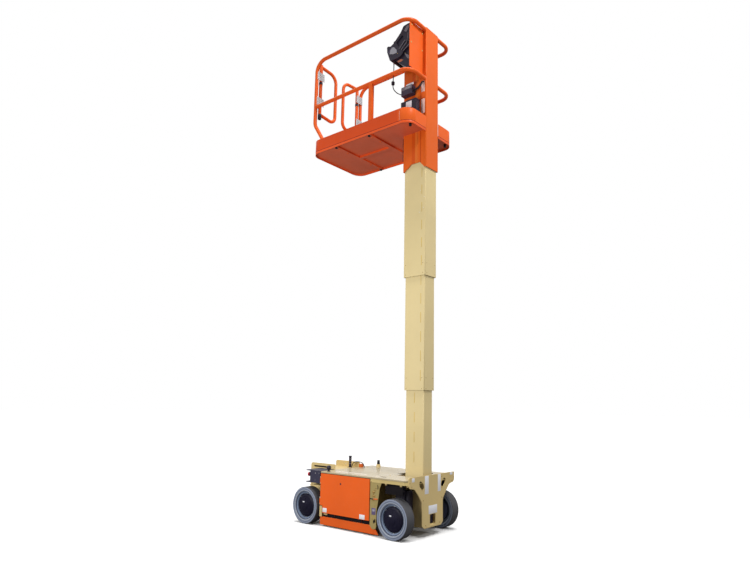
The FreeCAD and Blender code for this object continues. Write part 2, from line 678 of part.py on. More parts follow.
def carriage_column():
    """Outermost sleeve: closed top, long grooves in both sides, shaped cut-outs in its foot."""
    foot = size("carriage_bottom")
    top = size("column_top")
    half = size("stage_one_width") / 2 + 1.5 * size("sleeve_step")
    tube = sleeve("carriage_shell", 3, foot, top - foot)
    lid = box("carriage_lid", (COLUMN_REAR + " + 4", f"4 - ({COLUMN_HALF})", str(top - 6)),
              ("$stage_one_length + 3 * $sleeve_step - 8", f"2 * ({COLUMN_HALF}) - 8", "6"))
    whole = fuse("carriage_tube", [tube, lid])
    grooves = []
    for side in (-1, 1):
        corner = min(side * (half - 3.5), side * (half + 10))
        for number, (low, high) in enumerate(((foot - 10, 3985), (4050, top - 30))):
            grooves.append(box(f"groove_{side}_{number}", ("545", str(corner), str(low)),
                               ("86", "13.5", str(high - low))))
    body = new_body("carriage_cutouts")
    sketch = new_sketch(body, "XZ_Plane")
    outline(sketch, [(404, foot - 20, 0), (404, foot + 10, 14), (440, foot + 26, 30), (470, foot + 56, 30),
                     (572, foot + 58, 12), (622, foot + 4, 6), (622, foot - 20, 0)])
    pad(body, sketch, "400", both_ways=True)
    return cut("carriage_column", whole, fuse("carriage_tools", grooves + [body]))


keep(carriage_column())


# Platform: floor pan with its skirt and ribs, toe board round it
def pan_corners(inset):
    rear = size("platform_rear") + inset
    front = size("platform_front") - inset
    half = size("platform_width") / 2 - inset
    radius = size("corner_radius") - inset
    return [(rear, -half, radius), (front, -half, radius), (front, half, radius), (rear, half, radius)]


def notch(label):
    """Space that the carriage column takes out of the pan and the toe board."""
    return box(label, (COLUMN_REAR, f"-({COLUMN_HALF})", "$pan_bottom - 50"), ("400", f"2 * ({COLUMN_HALF})", "300"))


def platform_pan():
    """Floor pan: rim, floor sheet, three ribs below and a raised tread panel above."""
    body = new_body("pan_shell")
    sketch = new_sketch(body, "XY_Plane", "$pan_bottom")
    outline(sketch, pan_corners(0))
    pad(body, sketch, "$floor_top - $pan_bottom")
    under = new_sketch(body, "XY_Plane", "$pan_bottom")
    outline(under, pan_corners(size("toe_sheet")))
    pocket(body, under, "$floor_top - $floor_sheet - $pan_bottom", backwards=True)
    tread = new_body("pan_tread")
    sketch = new_sketch(tread, "XY_Plane", "$floor_top")
    outline(sketch, [(-575, -300, 25), (350, -300, 25), (350, 300, 25), (-575, 300, 25)])
    pad(tread, sketch, "$tread_sheet")
    rear_rib = box("rib_rear", ("-310", "-365", "$pan_bottom + 2"), ("40", "730", "$floor_top - $pan_bottom - 4"))
    front_rib = box("rib_front", ("130", "-365", "$pan_bottom + 2"), ("40", "730", "$floor_top - $pan_bottom - 4"))
    long_rib = box("rib_long", ("-280", "-18", "$pan_bottom + 2"), ("420", "36", "$floor_top - $pan_bottom - 4"))
    whole = fuse("pan_whole", [body, tread, rear_rib, front_rib, long_rib])
    return cut("platform_pan", whole, notch("pan_notch"))


def pan_stops():
    """Rubber stops under the rib ends and beside the column."""
    places = [(x, side * y) for x, y in ((-290, 348), (150, 348), (600, 285)) for side in (-1, 1)]
    return fuse("pan_stops", [cylinder(f"stop_{number}", (str(x), str(y), "$pan_bottom - 8"), "13",
                                       "10" if x < 500 else "29") for number, (x, y) in enumerate(places)])


def toe_board():
    """Upright board round the platform; a narrow seam parts it from the pan's rim."""
    body = new_body("toe_ring")
    sketch = new_sketch(body, "XY_Plane", "$floor_top + $seam")
    outline(sketch, pan_corners(0))
    outline(sketch, pan_corners(size("toe_sheet")))
    pad(body, sketch, "$toe_top - $floor_top - $seam")
    foot = new_body("toe_foot")
    sketch = new_sketch(foot, "XY_Plane", "$floor_top")
    outline(sketch, pan_corners(1.5))
    outline(sketch, pan_corners(size("toe_sheet")))
    pad(foot, sketch, "$seam + 1")
    entry = box("toe_entry", ("$platform_rear - 10", "-240", "$toe_top - 45"), ("40", "480", "80"))
    opening = fuse("toe_openings", [entry, notch("toe_notch")])
    return cut("toe_board", fuse("toe_whole", [body, foot]), opening)


keep(platform_pan())
keep(pan_stops())
keep(toe_board())


# Guard rails, right side; the left side is their mirror image
def guard_rails():
    tube = size("rail_diameter")
    y = -size("rail_half_width")
    top = size("rail_top")
    mid = size("rail_mid")
    front = size("platform_front") - tube / 2
    rear = size("rail_rear")
    column_side = -(size("stage_one_width") / 2 + 1.5 * size("sleeve_step"))
    foot = size("floor_top")
    top_rail = bent_tube([Vector(rear + 130, y, foot), Vector(rear + 130, y, foot + 115),
                          Vector(rear, y, foot + 320), Vector(rear, y, top), Vector(front, y, top),
                          Vector(front, column_side, top)], [60, 120, 120, 110], tube)
    mid_rail = bent_tube([Vector(rear, y, mid), Vector(front, y, mid), Vector(front, column_side, mid)],
                         [110], tube)
    post = Part.makeBox(tube, tube, mid - foot, Vector(143, y - tube / 2, foot))
    top_item = shaped("top_rail_right", top_rail)
    mid_item = shaped("mid_rail_right", mid_rail.cut(top_rail))
    post_item = shaped("mid_post_right", post.cut(mid_rail))
    return [top_item, mid_item, post_item]


for rail in guard_rails():
    keep(rail)
    keep(mirrored(rail.Label.replace("right", "left"), rail))


# Entry gates: a closed loop of bent tube on a hinge stile, and its two hinge plates
def gate_leaf(label):
    tube = size("gate_tube")
    x = size("rail_rear")
    hinge = -size("gate_hinge")
    free = -size("gate_free")
    top = size("gate_top")
    low = size("gate_bottom")
    loop = bent_tube([Vector(x, hinge, top - 19), Vector(x, free, top - 34), Vector(x, free, low + 18),
                      Vector(x, hinge, low + 40)], [95, 75], tube - 1)
    stile = Part.makeCylinder(tube / 2, top - low, Vector(x, hinge, low))
    leaf = stile.fuse(loop).removeSplitter()
    return shaped(label, leaf)


gate = keep(gate_leaf("gate_right"))
keep(mirrored("gate_left", gate))


GATE_HINGES = (4212, 4502)


def hinge_plates(label):
    """Two cover plates on the rear post that reach over the gate's stile, each with a lug between the tubes."""
    post = -size("rail_half_width")
    stile = -size("gate_hinge")
    tube = size("rail_diameter") / 2
    face = size("rail_rear") + tube + 4
    pieces = []
    for number, height in enumerate(GATE_HINGES):
        pieces.append(box(f"{label}_cover_{number}", (str(face), str(post - 6), str(height)),
                          ("3", str(stile + 30 - post + 6), "88")))
        pieces.append(box(f"{label}_seat_{number}", (str(face - 9), str(post - 6), str(height)), ("10", "12", "88")))
        pieces.append(box(f"{label}_lug_{number}", ("$rail_rear - 3", str(post + tube - 4), str(height + 30)),
                          ("6", str(stile - size("gate_tube") / 2 - 1 - post - tube + 4), "28")))
    tube_space = cylinder(label + "_post", ("$rail_rear", str(post), str(GATE_HINGES[0] - 20)),
                          "$rail_diameter / 2 + $running_gap", str(GATE_HINGES[1] - GATE_HINGES[0] + 140))
    return cut(label, fuse(label + "_pieces", pieces), tube_space)


plates = keep(hinge_plates("gate_hinge_plates_right"))
keep(mirrored("gate_hinge_plates_left", plates))


# Operator's console on its plate beside the column
keep(box("console_plate", ("$plate_x", "-312", "4222"), ("5", "312 - $stage_one_width / 2 - 1.5 * $sleeve_step", "480")))


def control_console():
    """Moulded console: a sloped shell with a recess in each side, over a narrower housing."""
    shell = new_body("console_shell")
    sketch = new_sketch(shell, "XZ_Plane", "118")
    outline(sketch, [(597, 4462, 0), (597, 4692, 6), (556, 4700, 12), (500, 4694, 14), (465, 4639, 10), (379, 4557, 10),
                     (341, 4540, 14), (296, 4558, 12), (300, 4491, 14), (338, 4385, 16), (440, 4383, 20), (482, 4398, 14),
                     (512, 4438, 14)])
    pad(shell, sketch, "160")
    for shift, inward in ((278, False), (118, True)):
        recess = new_sketch(shell, "XZ_Plane", str(shift))
        outline(recess, [(488, 4606, 8), (515, 4552, 8), (442, 4494, 8), (414, 4552, 8)])
        pocket(shell, recess, "12", backwards=inward)
    housing = new_body("console_housing")
    sketch = new_sketch(housing, "XZ_Plane", "138")
    outline(sketch, [(597, 4236, 0), (597, 4500, 0), (470, 4430, 0), (384, 4392, 0), (388, 4380, 8), (445, 4328, 12),
                     (562, 4232, 10)])
    pad(housing, sketch, "120")
    return fuse("control_console", [shell, housing])


console = keep(control_console())
controls = keep(box("control_box", ("388", "-160", "4045"), ("130", "59", "90")))
keep(box("document_box", ("394", "-165", "3790"), ("178", "64", "183")))
doc.recompute()


# Cable from the console through its connector to the control box, and two cables on to the column
def console_cable():
    drop_y = -200
    gland = Part.makeCylinder(8.5, 38, Vector(324, drop_y, 4396)).cut(console.Shape)
    drop = cable([Vector(324, drop_y, 4400), Vector(324, drop_y, 4310), Vector(316, drop_y, 4210)], 9)
    plug = Part.makeCylinder(12, 44, Vector(316, drop_y, 4172))
    sweep = cable([Vector(316, drop_y, 4174), Vector(317, drop_y + 1, 4140), Vector(336, -190, 4104),
                   Vector(362, -170, 4078), Vector(388, -142, 4070)], 9)
    pieces = [drop.fuse([gland, plug, sweep]).removeSplitter()]
    # height at the control box, where the cable turns up, where it ends along x, end height
    for start, bend, end, rise in ((4082, 556, 600, 4160), (4062, 572, 618, 4154)):
        y = -132 if start > 4070 else -144
        pieces.append(cable([Vector(518, y, start), Vector(bend, y - 2, start + 2), Vector(end - 4, y + 4, start + 36),
                             Vector(end, y + 16, rise - 14), Vector(end, -101, rise)], 9))
    inside = controls.Shape
    return shaped("console_cable", Part.makeCompound([piece.cut(inside) for piece in pieces]))


keep(console_cable())

# Battery connector on the deck with its looped cable
body = new_body("deck_connector")
sketch = new_sketch(body, "XY_Plane", "$deck_top")
outline(sketch, [(-338, 152, 4), (-304, 152, 4), (-298, 160, 4), (-298, 176, 4), (-304, 184, 4), (-338, 184, 4)])
pad(body, sketch, "30")
keep(body)
keep(shaped("connector_cable", cable([Vector(-418, 140, 472), Vector(-416, 140, 500), Vector(-386, 142, 526),
                                      Vector(-340, 144, 529), Vector(-294, 146, 526), Vector(-264, 148, 504),
                                      Vector(-262, 148, 478)], 8)))

doc.recompute()
for item in doc.Objects:
    if "Invalid" in item.State or "Error" in item.State:
        raise RuntimeError(f"{item.Label} failed: {item.State}")
os.makedirs("parts", exist_ok=True)
for item in nodes:
    if item.Shape.isNull() or not item.Shape.isValid():
        raise RuntimeError(f"{item.Label} has no valid shape")
    item.Shape.exportStep(f"parts/{item.Label}.step")
    print(item.Label, len(item.Shape.Solids), round(item.Shape.Volume / 1e6, 3))
print(len(nodes), "nodes")
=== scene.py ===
import json
import math
import bmesh
import bpy
from mathutils import Matrix, Vector


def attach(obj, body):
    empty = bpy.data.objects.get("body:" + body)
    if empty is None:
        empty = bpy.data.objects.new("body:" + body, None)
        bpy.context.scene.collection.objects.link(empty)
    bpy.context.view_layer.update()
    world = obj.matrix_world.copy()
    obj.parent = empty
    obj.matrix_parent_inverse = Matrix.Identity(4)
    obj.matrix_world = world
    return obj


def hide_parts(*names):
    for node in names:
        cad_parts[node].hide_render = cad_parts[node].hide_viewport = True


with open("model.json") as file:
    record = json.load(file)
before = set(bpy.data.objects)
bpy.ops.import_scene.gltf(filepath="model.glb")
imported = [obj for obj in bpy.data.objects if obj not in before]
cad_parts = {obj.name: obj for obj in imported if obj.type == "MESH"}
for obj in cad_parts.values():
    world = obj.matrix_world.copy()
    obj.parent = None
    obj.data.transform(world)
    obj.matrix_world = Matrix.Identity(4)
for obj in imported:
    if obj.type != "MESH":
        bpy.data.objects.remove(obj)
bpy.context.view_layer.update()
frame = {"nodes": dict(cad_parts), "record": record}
scene = bpy.context.scene

# Names and y signs of the two sides; the right side is the near one
SIDES = (("right", -1), ("left", 1))
SIGNS = (-1, 1)
UP, DOWN, FORWARD, BACK, TO_RIGHT = (0, 0, 1), (0, 0, -1), (1, 0, 0), (-1, 0, 0), (0, -1, 0)

# Camera: solved position and direction of the photograph
IMAGE_WIDTH, IMAGE_HEIGHT = 750, 563
FOCAL_PIXELS = 577.149
CENTRE_U, CENTRE_V = 401.863, 302.106
HEADING, PITCH, ROLL = (math.radians(angle) for angle in (38.341, 9.961, 0.677))
EYE = Vector((3.636, -4.217, 1.100))

level = Vector((-math.sin(HEADING), math.cos(HEADING), 0))
across = Vector((math.cos(HEADING), math.sin(HEADING), 0))
ahead = level * math.cos(PITCH) + Vector((0, 0, math.sin(PITCH)))
upward = Vector((0, 0, math.cos(PITCH))) - level * math.sin(PITCH)
right = across * math.cos(ROLL) + upward * math.sin(ROLL)
top = upward * math.cos(ROLL) - across * math.sin(ROLL)
camera_data = bpy.data.cameras.new("camera")
camera_data.sensor_width = 36
camera_data.lens = FOCAL_PIXELS / IMAGE_WIDTH * camera_data.sensor_width
camera_data.shift_x = -(CENTRE_U - IMAGE_WIDTH / 2) / IMAGE_WIDTH
camera_data.shift_y = (CENTRE_V - IMAGE_HEIGHT / 2) / IMAGE_WIDTH
camera_data.clip_start = 0.05
camera = bpy.data.objects.new("camera", camera_data)
camera.matrix_world = Matrix.Translation(EYE) @ Matrix((right, top, -ahead)).transposed().to_4x4()
scene.collection.objects.link(camera)
scene.camera = camera


# Materials
def colour_sockets(sockets):
    return [socket for socket in sockets if socket.type == "RGBA"]


class Nodes:
    """A material's node tree with short calls to add and link nodes."""

    def __init__(self, name):
        self.material = bpy.data.materials.new(name)
        self.material.use_nodes = True
        self.tree = self.material.node_tree
        self.shader = self.tree.nodes["Principled BSDF"]
        self.place = self.add("ShaderNodeTexCoord").outputs["Object"]

    def add(self, kind, **values):
        node = self.tree.nodes.new(kind)
        for name, value in values.items():
            if hasattr(node, name):
                setattr(node, name, value)
            else:
                node.inputs[name.replace("_", " ").title()].default_value = value
        return node

    def link(self, source, target):
        self.tree.links.new(source, target)

    def axes(self, source):
        """X, Y and Z outputs of a vector output."""
        node = self.add("ShaderNodeSeparateXYZ")
        self.link(source, node.inputs["Vector"])
        return node.outputs

    def noise(self, scale, detail):
        node = self.add("ShaderNodeTexNoise", scale=scale, detail=detail)
        self.link(self.place, node.inputs["Vector"])
        return node.outputs["Fac"]

    def spread(self, source, low, high, edges=(0.3, 0.7)):
        """Number output mapped from the range between the edges to low and high."""
        node = self.add("ShaderNodeMapRange")
        for name, value in zip(("From Min", "From Max", "To Min", "To Max"), (*edges, low, high)):
            node.inputs[name].default_value = value
        self.link(source, node.inputs["Value"])
        return node.outputs["Result"]

    def blend(self, factor, first, second):
        """Mix of two colours or colour outputs."""
        node = self.add("ShaderNodeMix", data_type="RGBA")
        self.link(factor, node.inputs["Factor"])
        for socket, value in zip(colour_sockets(node.inputs), (first, second)):
            if isinstance(value, tuple):
                socket.default_value = (*value, 1)
            else:
                self.link(value, socket)
        return colour_sockets(node.outputs)[0]

    def times(self, first, second):
        """Product of two colour outputs."""
        node = self.add("ShaderNodeMix", data_type="RGBA", blend_type="MULTIPLY")
        node.inputs["Factor"].default_value = 1.0
        for socket, value in zip(colour_sockets(node.inputs), (first, second)):
            self.link(value, socket)
        return colour_sockets(node.outputs)[0]

    def bump(self, source, distance):
        node = self.add("ShaderNodeBump")
        node.inputs["Distance"].default_value = distance
        self.link(source, node.inputs["Height"])
        return node.outputs["Normal"]

    def maths(self, operation, *values):
        """Arithmetic on numbers and number outputs."""
        node = self.add("ShaderNodeMath", operation=operation)
        for socket, value in zip(node.inputs, values):
            if isinstance(value, float):
                socket.default_value = value
            else:
                self.link(value, socket)
        return node.outputs["Value"]

    def steps(self, source, table, high):
        """Colour that changes in steps from zero to high; table holds (where it starts, colour)."""
        node = self.add("ShaderNodeValToRGB")
        ramp = node.color_ramp
        ramp.interpolation = "CONSTANT"
        while len(ramp.elements) < len(table):
            ramp.elements.new(1.0)
        for element, (start, colour) in zip(ramp.elements, table):
            element.position = start / high
            element.color = (*colour, 1)
        self.link(self.spread(source, 0.0, 1.0, (0.0, high)), node.inputs["Fac"])
        return node.outputs["Color"]


def scaled(colour, factor):
    return tuple(min(1.0, channel * factor) for channel in colour)


AXLE_Z, TRACK_Y, HALF_BASE = 0.1625, 0.330, 0.520
ROOF = 0.438
WHITE = (1.0, 1.0, 1.0)


def wheel_rings(nodes, table):
    """Colour in rings round the nearest axle's line."""
    place = nodes.axes(nodes.place)
    along = nodes.maths("SUBTRACT", nodes.maths("ABSOLUTE", place["X"]), HALF_BASE)
    height = nodes.maths("SUBTRACT", place["Z"], AXLE_Z)
    squares = [nodes.maths("MULTIPLY", leg, leg) for leg in (along, height)]
    return nodes.steps(nodes.maths("SQRT", nodes.maths("ADD", *squares)), table, 0.2)


def arch_shade(nodes, table):
    """Colour in bands of distance from the middle plane, below the arch roof only."""
    place = nodes.axes(nodes.place)
    above = nodes.maths("GREATER_THAN", place["Z"], ROOF - 0.0005)
    return nodes.blend(above, nodes.steps(nodes.maths("ABSOLUTE", place["Y"]), table, 0.5), WHITE)


def upright_bands(nodes, table):
    """Colour in upright bands along x."""
    return nodes.steps(nodes.axes(nodes.place)["X"], table, 1.0)


def under_shade(nodes, table):
    """Colour by how far a face looks down."""
    normal = nodes.axes(nodes.add("ShaderNodeNewGeometry").outputs["Normal"])
    return nodes.steps(nodes.maths("MULTIPLY", normal["Z"], -1.0), table, 1.0)


# Scale and detail of the noises that every finish has; the dust's colour; how roughness varies
PATCHES, SPECKLE, WEAR, GRAIN_DETAIL = (2.6, 4.0), (38.0, 6.0), (14.0, 5.0), 2.0
DUST, DUST_EDGES = (0.42, 0.38, 0.32), (0.5, 0.85)
POLISHED, SCUFFED = -0.06, 0.10
COAT_ROUGHNESS = 0.12


def finish_of(name, colour, roughness, grain, metallic=0.0, coat=0.0, change=0.08, dust=0.0, specular=0.5,
              bands=None):
    """Material with patchy colour and roughness and a fine grain; bands are a pattern and its table."""
    nodes = Nodes(name)
    shader = nodes.shader
    for socket, value in (("Metallic", metallic), ("Specular IOR Level", specular), ("Coat Weight", coat),
                          ("Coat Roughness", COAT_ROUGHNESS)):
        shader.inputs[socket].default_value = value
    patches = nodes.spread(nodes.noise(*PATCHES), 0.0, 1.0)
    mixed = nodes.blend(patches, scaled(colour, 1 - change), scaled(colour, 1 + change))
    if dust:
        mixed = nodes.blend(nodes.spread(nodes.noise(*SPECKLE), 0.0, dust, DUST_EDGES), mixed, DUST)
    if bands is not None:
        pattern, table = bands
        mixed = nodes.times(mixed, pattern(nodes, table))
    nodes.link(mixed, shader.inputs["Base Color"])
    worn = nodes.spread(nodes.noise(*WEAR), roughness + POLISHED, roughness + SCUFFED)
    nodes.link(worn, shader.inputs["Roughness"])
    scale, distance = grain
    nodes.link(nodes.bump(nodes.noise(scale, GRAIN_DETAIL), distance), shader.inputs["Normal"])
    return nodes.material


# Grain: scale and depth in metres
PEEL, MOULDED, CAST, SMOOTH = (260.0, 0.00012), (900.0, 0.00022), (420.0, 0.0005), (500.0, 0.00005)
SANDY, RUBBER, SATIN = (600.0, 0.0003), (700.0, 0.0003), (900.0, 0.00006)
ZINC, BEAD = (320.0, 0.0001), (500.0, 0.0006)
# Bands: where each starts, and what the colour is multiplied by from there on
# Tyre: a painted highlight on the raised ring by the rim, painted shade in the groove, and a darker tread
TYRE_LIGHT_SHADE_RINGS = [(0.0, (1.35, 1.30, 1.18)), (0.1350, (0.95, 0.97, 1.0)), (0.1405, (0.55, 0.56, 0.60)),
              (0.1440, (1.0, 1.0, 1.02)), (0.1585, (0.275, 0.240, 0.205))]
# Rim: painted highlights on the ring round the hub and on the flange, painted shade on the dish's step,
# darker under the hub
RIM_LIGHT_SHADE_RINGS = [(0.0, (0.35, 0.32, 0.38)), (0.0945, (1.45, 1.40, 1.25)), (0.1065, (0.95, 1.0, 1.05)),
             (0.1165, (0.42, 0.42, 0.46)), (0.1235, (1.1, 1.1, 1.1))]
# Carriage column's sides: upright bands of painted shade and painted highlight along x
COLUMN_LIGHT_SHADE_BANDS = [(0.0, WHITE), (0.477, (0.86, 0.74, 0.7)), (0.517, (1.0, 1.35, 2.0)), (0.553, WHITE),
                (0.578, (0.62, 0.40, 0.4)), (0.585, WHITE)]
PAN_SHADE = [(0.0, (0.95, 0.75, 0.80)), (0.5, (0.84, 0.98, 2.9))]
# Toe board: painted shade along its sides, less towards the front corner
TOE_SHADE_BANDS = [(0.0, (0.82, 0.58, 0.65)), (0.515, (0.92, 0.80, 0.85)), (0.545, WHITE)]
ARCH_SHADE = [(0.0, (0.42, 0.38, 0.30)), (0.300, (0.40, 0.37, 0.30)), (0.345, (0.59, 0.59, 0.54))]
# name, record slot, colour, roughness, grain, and what differs from the plain finish
FINISHES = (
    ("orange_paint", "orange_paint", (0.83, 0.128, 0.018), 0.36, PEEL,
     dict(coat=0.02, change=0.05, dust=0.03, specular=0.12)),
    ("cream_paint", "cream_paint", (0.66, 0.500, 0.225), 0.38, PEEL,
     dict(coat=0.05, change=0.05, dust=0.06, specular=0.25)),
    # mast_cream: a lighter, bluer copy of the cream paint, painted light on the mast
    ("mast_cream", "cream_paint", (0.73, 0.590, 0.300), 0.38, PEEL,
     dict(coat=0.05, change=0.05, dust=0.06, specular=0.25)),
    # deck_cream: a darker copy of the cream paint, painted shade on the deck
    ("deck_cream", "cream_paint", (0.465, 0.385, 0.240), 0.30, PEEL,
     dict(coat=0.10, change=0.07, dust=0.08, specular=0.30)),
    ("arch_cream", "cream_paint", (0.62, 0.480, 0.200), 0.42, PEEL,
     dict(change=0.06, dust=0.10, specular=0.20, bands=(arch_shade, ARCH_SHADE))),
    # well_cream: a darker copy of the cream paint, painted shade in the mast well
    ("well_cream", "cream_paint", (0.52, 0.390, 0.180), 0.50, PEEL,
     dict(change=0.08, dust=0.08, specular=0.15)),
    # seam_red: dark red for painted shade in the pan's seam
    ("seam_red", "orange_paint", (0.24, 0.022, 0.012), 0.55, SMOOTH, dict(specular=0.15)),
    ("grey_rubber", "grey_rubber", (0.235, 0.268, 0.345), 0.66, RUBBER,
     dict(change=0.08, dust=0.10, specular=0.25, bands=(wheel_rings, TYRE_LIGHT_SHADE_RINGS))),
    ("rim_grey", "rim_grey", (0.205, 0.250, 0.345), 0.36, PEEL,
     dict(coat=0.05, dust=0.04, specular=0.35, bands=(wheel_rings, RIM_LIGHT_SHADE_RINGS))),
    ("axle_black", "axle_black", (0.018, 0.015, 0.026), 0.45, SANDY, dict(dust=0.03, specular=0.22)),
    ("channel_violet", "axle_black", (0.036, 0.034, 0.062), 0.45, SANDY, dict(dust=0.03, specular=0.22)),
    ("black_plastic", "black_plastic", (0.018, 0.014, 0.028), 0.46, MOULDED, dict(specular=0.28)),
    ("black_rubber", "black_rubber", (0.014, 0.013, 0.016), 0.60, MOULDED, dict(specular=0.2)),
    ("red_plastic", "red_plastic", (0.52, 0.045, 0.060), 0.32, SATIN, dict(coat=0.1, specular=0.3)),
    ("orange_plastic", "orange_plastic", (0.74, 0.14, 0.020), 0.38, MOULDED, dict(specular=0.3)),
    ("zinc_plate", "zinc_plate", (0.58, 0.585, 0.60), 0.38, ZINC, dict(metallic=0.45, change=0.12)),
    ("yellow_zinc", "zinc_plate", (0.64, 0.47, 0.18), 0.36, ZINC, dict(metallic=0.5)),
    ("brown_bolt", "zinc_plate", (0.30, 0.18, 0.045), 0.45, SMOOTH, dict(specular=0.3)),
    ("grey_plastic", "black_plastic", (0.200, 0.180, 0.210), 0.42, MOULDED, dict(specular=0.35)),
    ("light_grey_plastic", "zinc_plate", (0.34, 0.34, 0.38), 0.40, MOULDED, dict(specular=0.35)),
    ("violet_plastic", "black_plastic", (0.085, 0.065, 0.125), 0.40, MOULDED, dict(specular=0.35)),
    ("brown_plastic", "orange_plastic", (0.45, 0.17, 0.10), 0.42, MOULDED, dict(specular=0.3)),
    ("white_plastic", "zinc_plate", (0.72, 0.71, 0.69), 0.42, MOULDED, dict(change=0.04, specular=0.3)),
    ("label_white", "zinc_plate", (0.80, 0.80, 0.84), 0.34, SMOOTH, dict(change=0.03, specular=0.3)),
    ("label_grey", "black_plastic", (0.13, 0.10, 0.19), 0.36, SMOOTH, dict(specular=0.3)),
    ("label_cream", "cream_paint", (0.80, 0.70, 0.60), 0.36, SMOOTH, dict(change=0.03, specular=0.3)),
    ("weld", "cream_paint", (0.64, 0.43, 0.09), 0.50, BEAD, dict(change=0.15, specular=0.3)),
    ("hub_black", "axle_black", (0.007, 0.006, 0.018), 0.42, CAST, dict(dust=0.01, specular=0.12)),
    ("dark_gap", "black_rubber", (0.012, 0.010, 0.012), 0.80, MOULDED, dict(specular=0.1)),
    # column_orange: the orange paint a little darker, with the bands of painted shade and painted highlight
    ("column_orange", "orange_paint", (0.77, 0.125, 0.013), 0.34, PEEL,
     dict(coat=0.02, change=0.05, specular=0.12, bands=(upright_bands, COLUMN_LIGHT_SHADE_BANDS))),
    # toe_orange: the orange paint with painted shade along the toe board's sides
    ("toe_orange", "orange_paint", (0.83, 0.128, 0.018), 0.36, PEEL,
     dict(coat=0.02, change=0.05, dust=0.03, specular=0.12, bands=(upright_bands, TOE_SHADE_BANDS))),
    ("pan_red", "orange_paint", (0.83, 0.128, 0.018), 0.42, PEEL,
     dict(coat=0.05, change=0.12, specular=0.20, bands=(under_shade, PAN_SHADE))),
    ("box_violet", "black_plastic", (0.046, 0.036, 0.062), 0.42, MOULDED, dict(specular=0.28)),
    ("sheen", "orange_paint", (0.98, 0.62, 0.56), 0.40, SMOOTH, dict(metallic=0.6, change=0.06)),
)
materials = {name: finish_of(name, colour, roughness, grain, **rest)
             for name, slot, colour, roughness, grain, rest in FINISHES}

# CAD nodes take the finish of their record slot, apart from these, and get small rounded edges
OWN_FINISH = {
    "carriage_column": "column_orange", "toe_board": "toe_orange", "platform_pan": "pan_red",
    "deck_plate": "deck_cream", "mast_well": "well_cream", "control_box": "box_violet",
    "wheel_arch_right": "arch_cream", "wheel_arch_left": "arch_cream", "ground_control_box": "channel_violet",
    "mast_stage_1": "mast_cream", "mast_stage_2": "mast_cream", "mast_stage_3": "mast_cream",
}
SHARP_NODES = ("console_cable", "connector_cable", "tyre", "rim")
MERGE, EDGE, EDGE_ANGLE = 0.00002, 0.0011, math.radians(38)
record_slots = {part["node"]: part["material_slot"] for part in frame["record"]["subparts"]}
for name, node in frame["nodes"].items():
    node.data.materials.clear()
    node.data.materials.append(materials[OWN_FINISH.get(name, record_slots[name])])
    if name.startswith(SHARP_NODES):
        continue
    node.modifiers.new("join", "WELD").merge_threshold = MERGE
    bevel = node.modifiers.new("edges", "BEVEL")
    bevel.width = EDGE
    bevel.segments = 2
    bevel.limit_method = "ANGLE"
    bevel.angle_limit = EDGE_ANGLE
    bevel.harden_normals = True


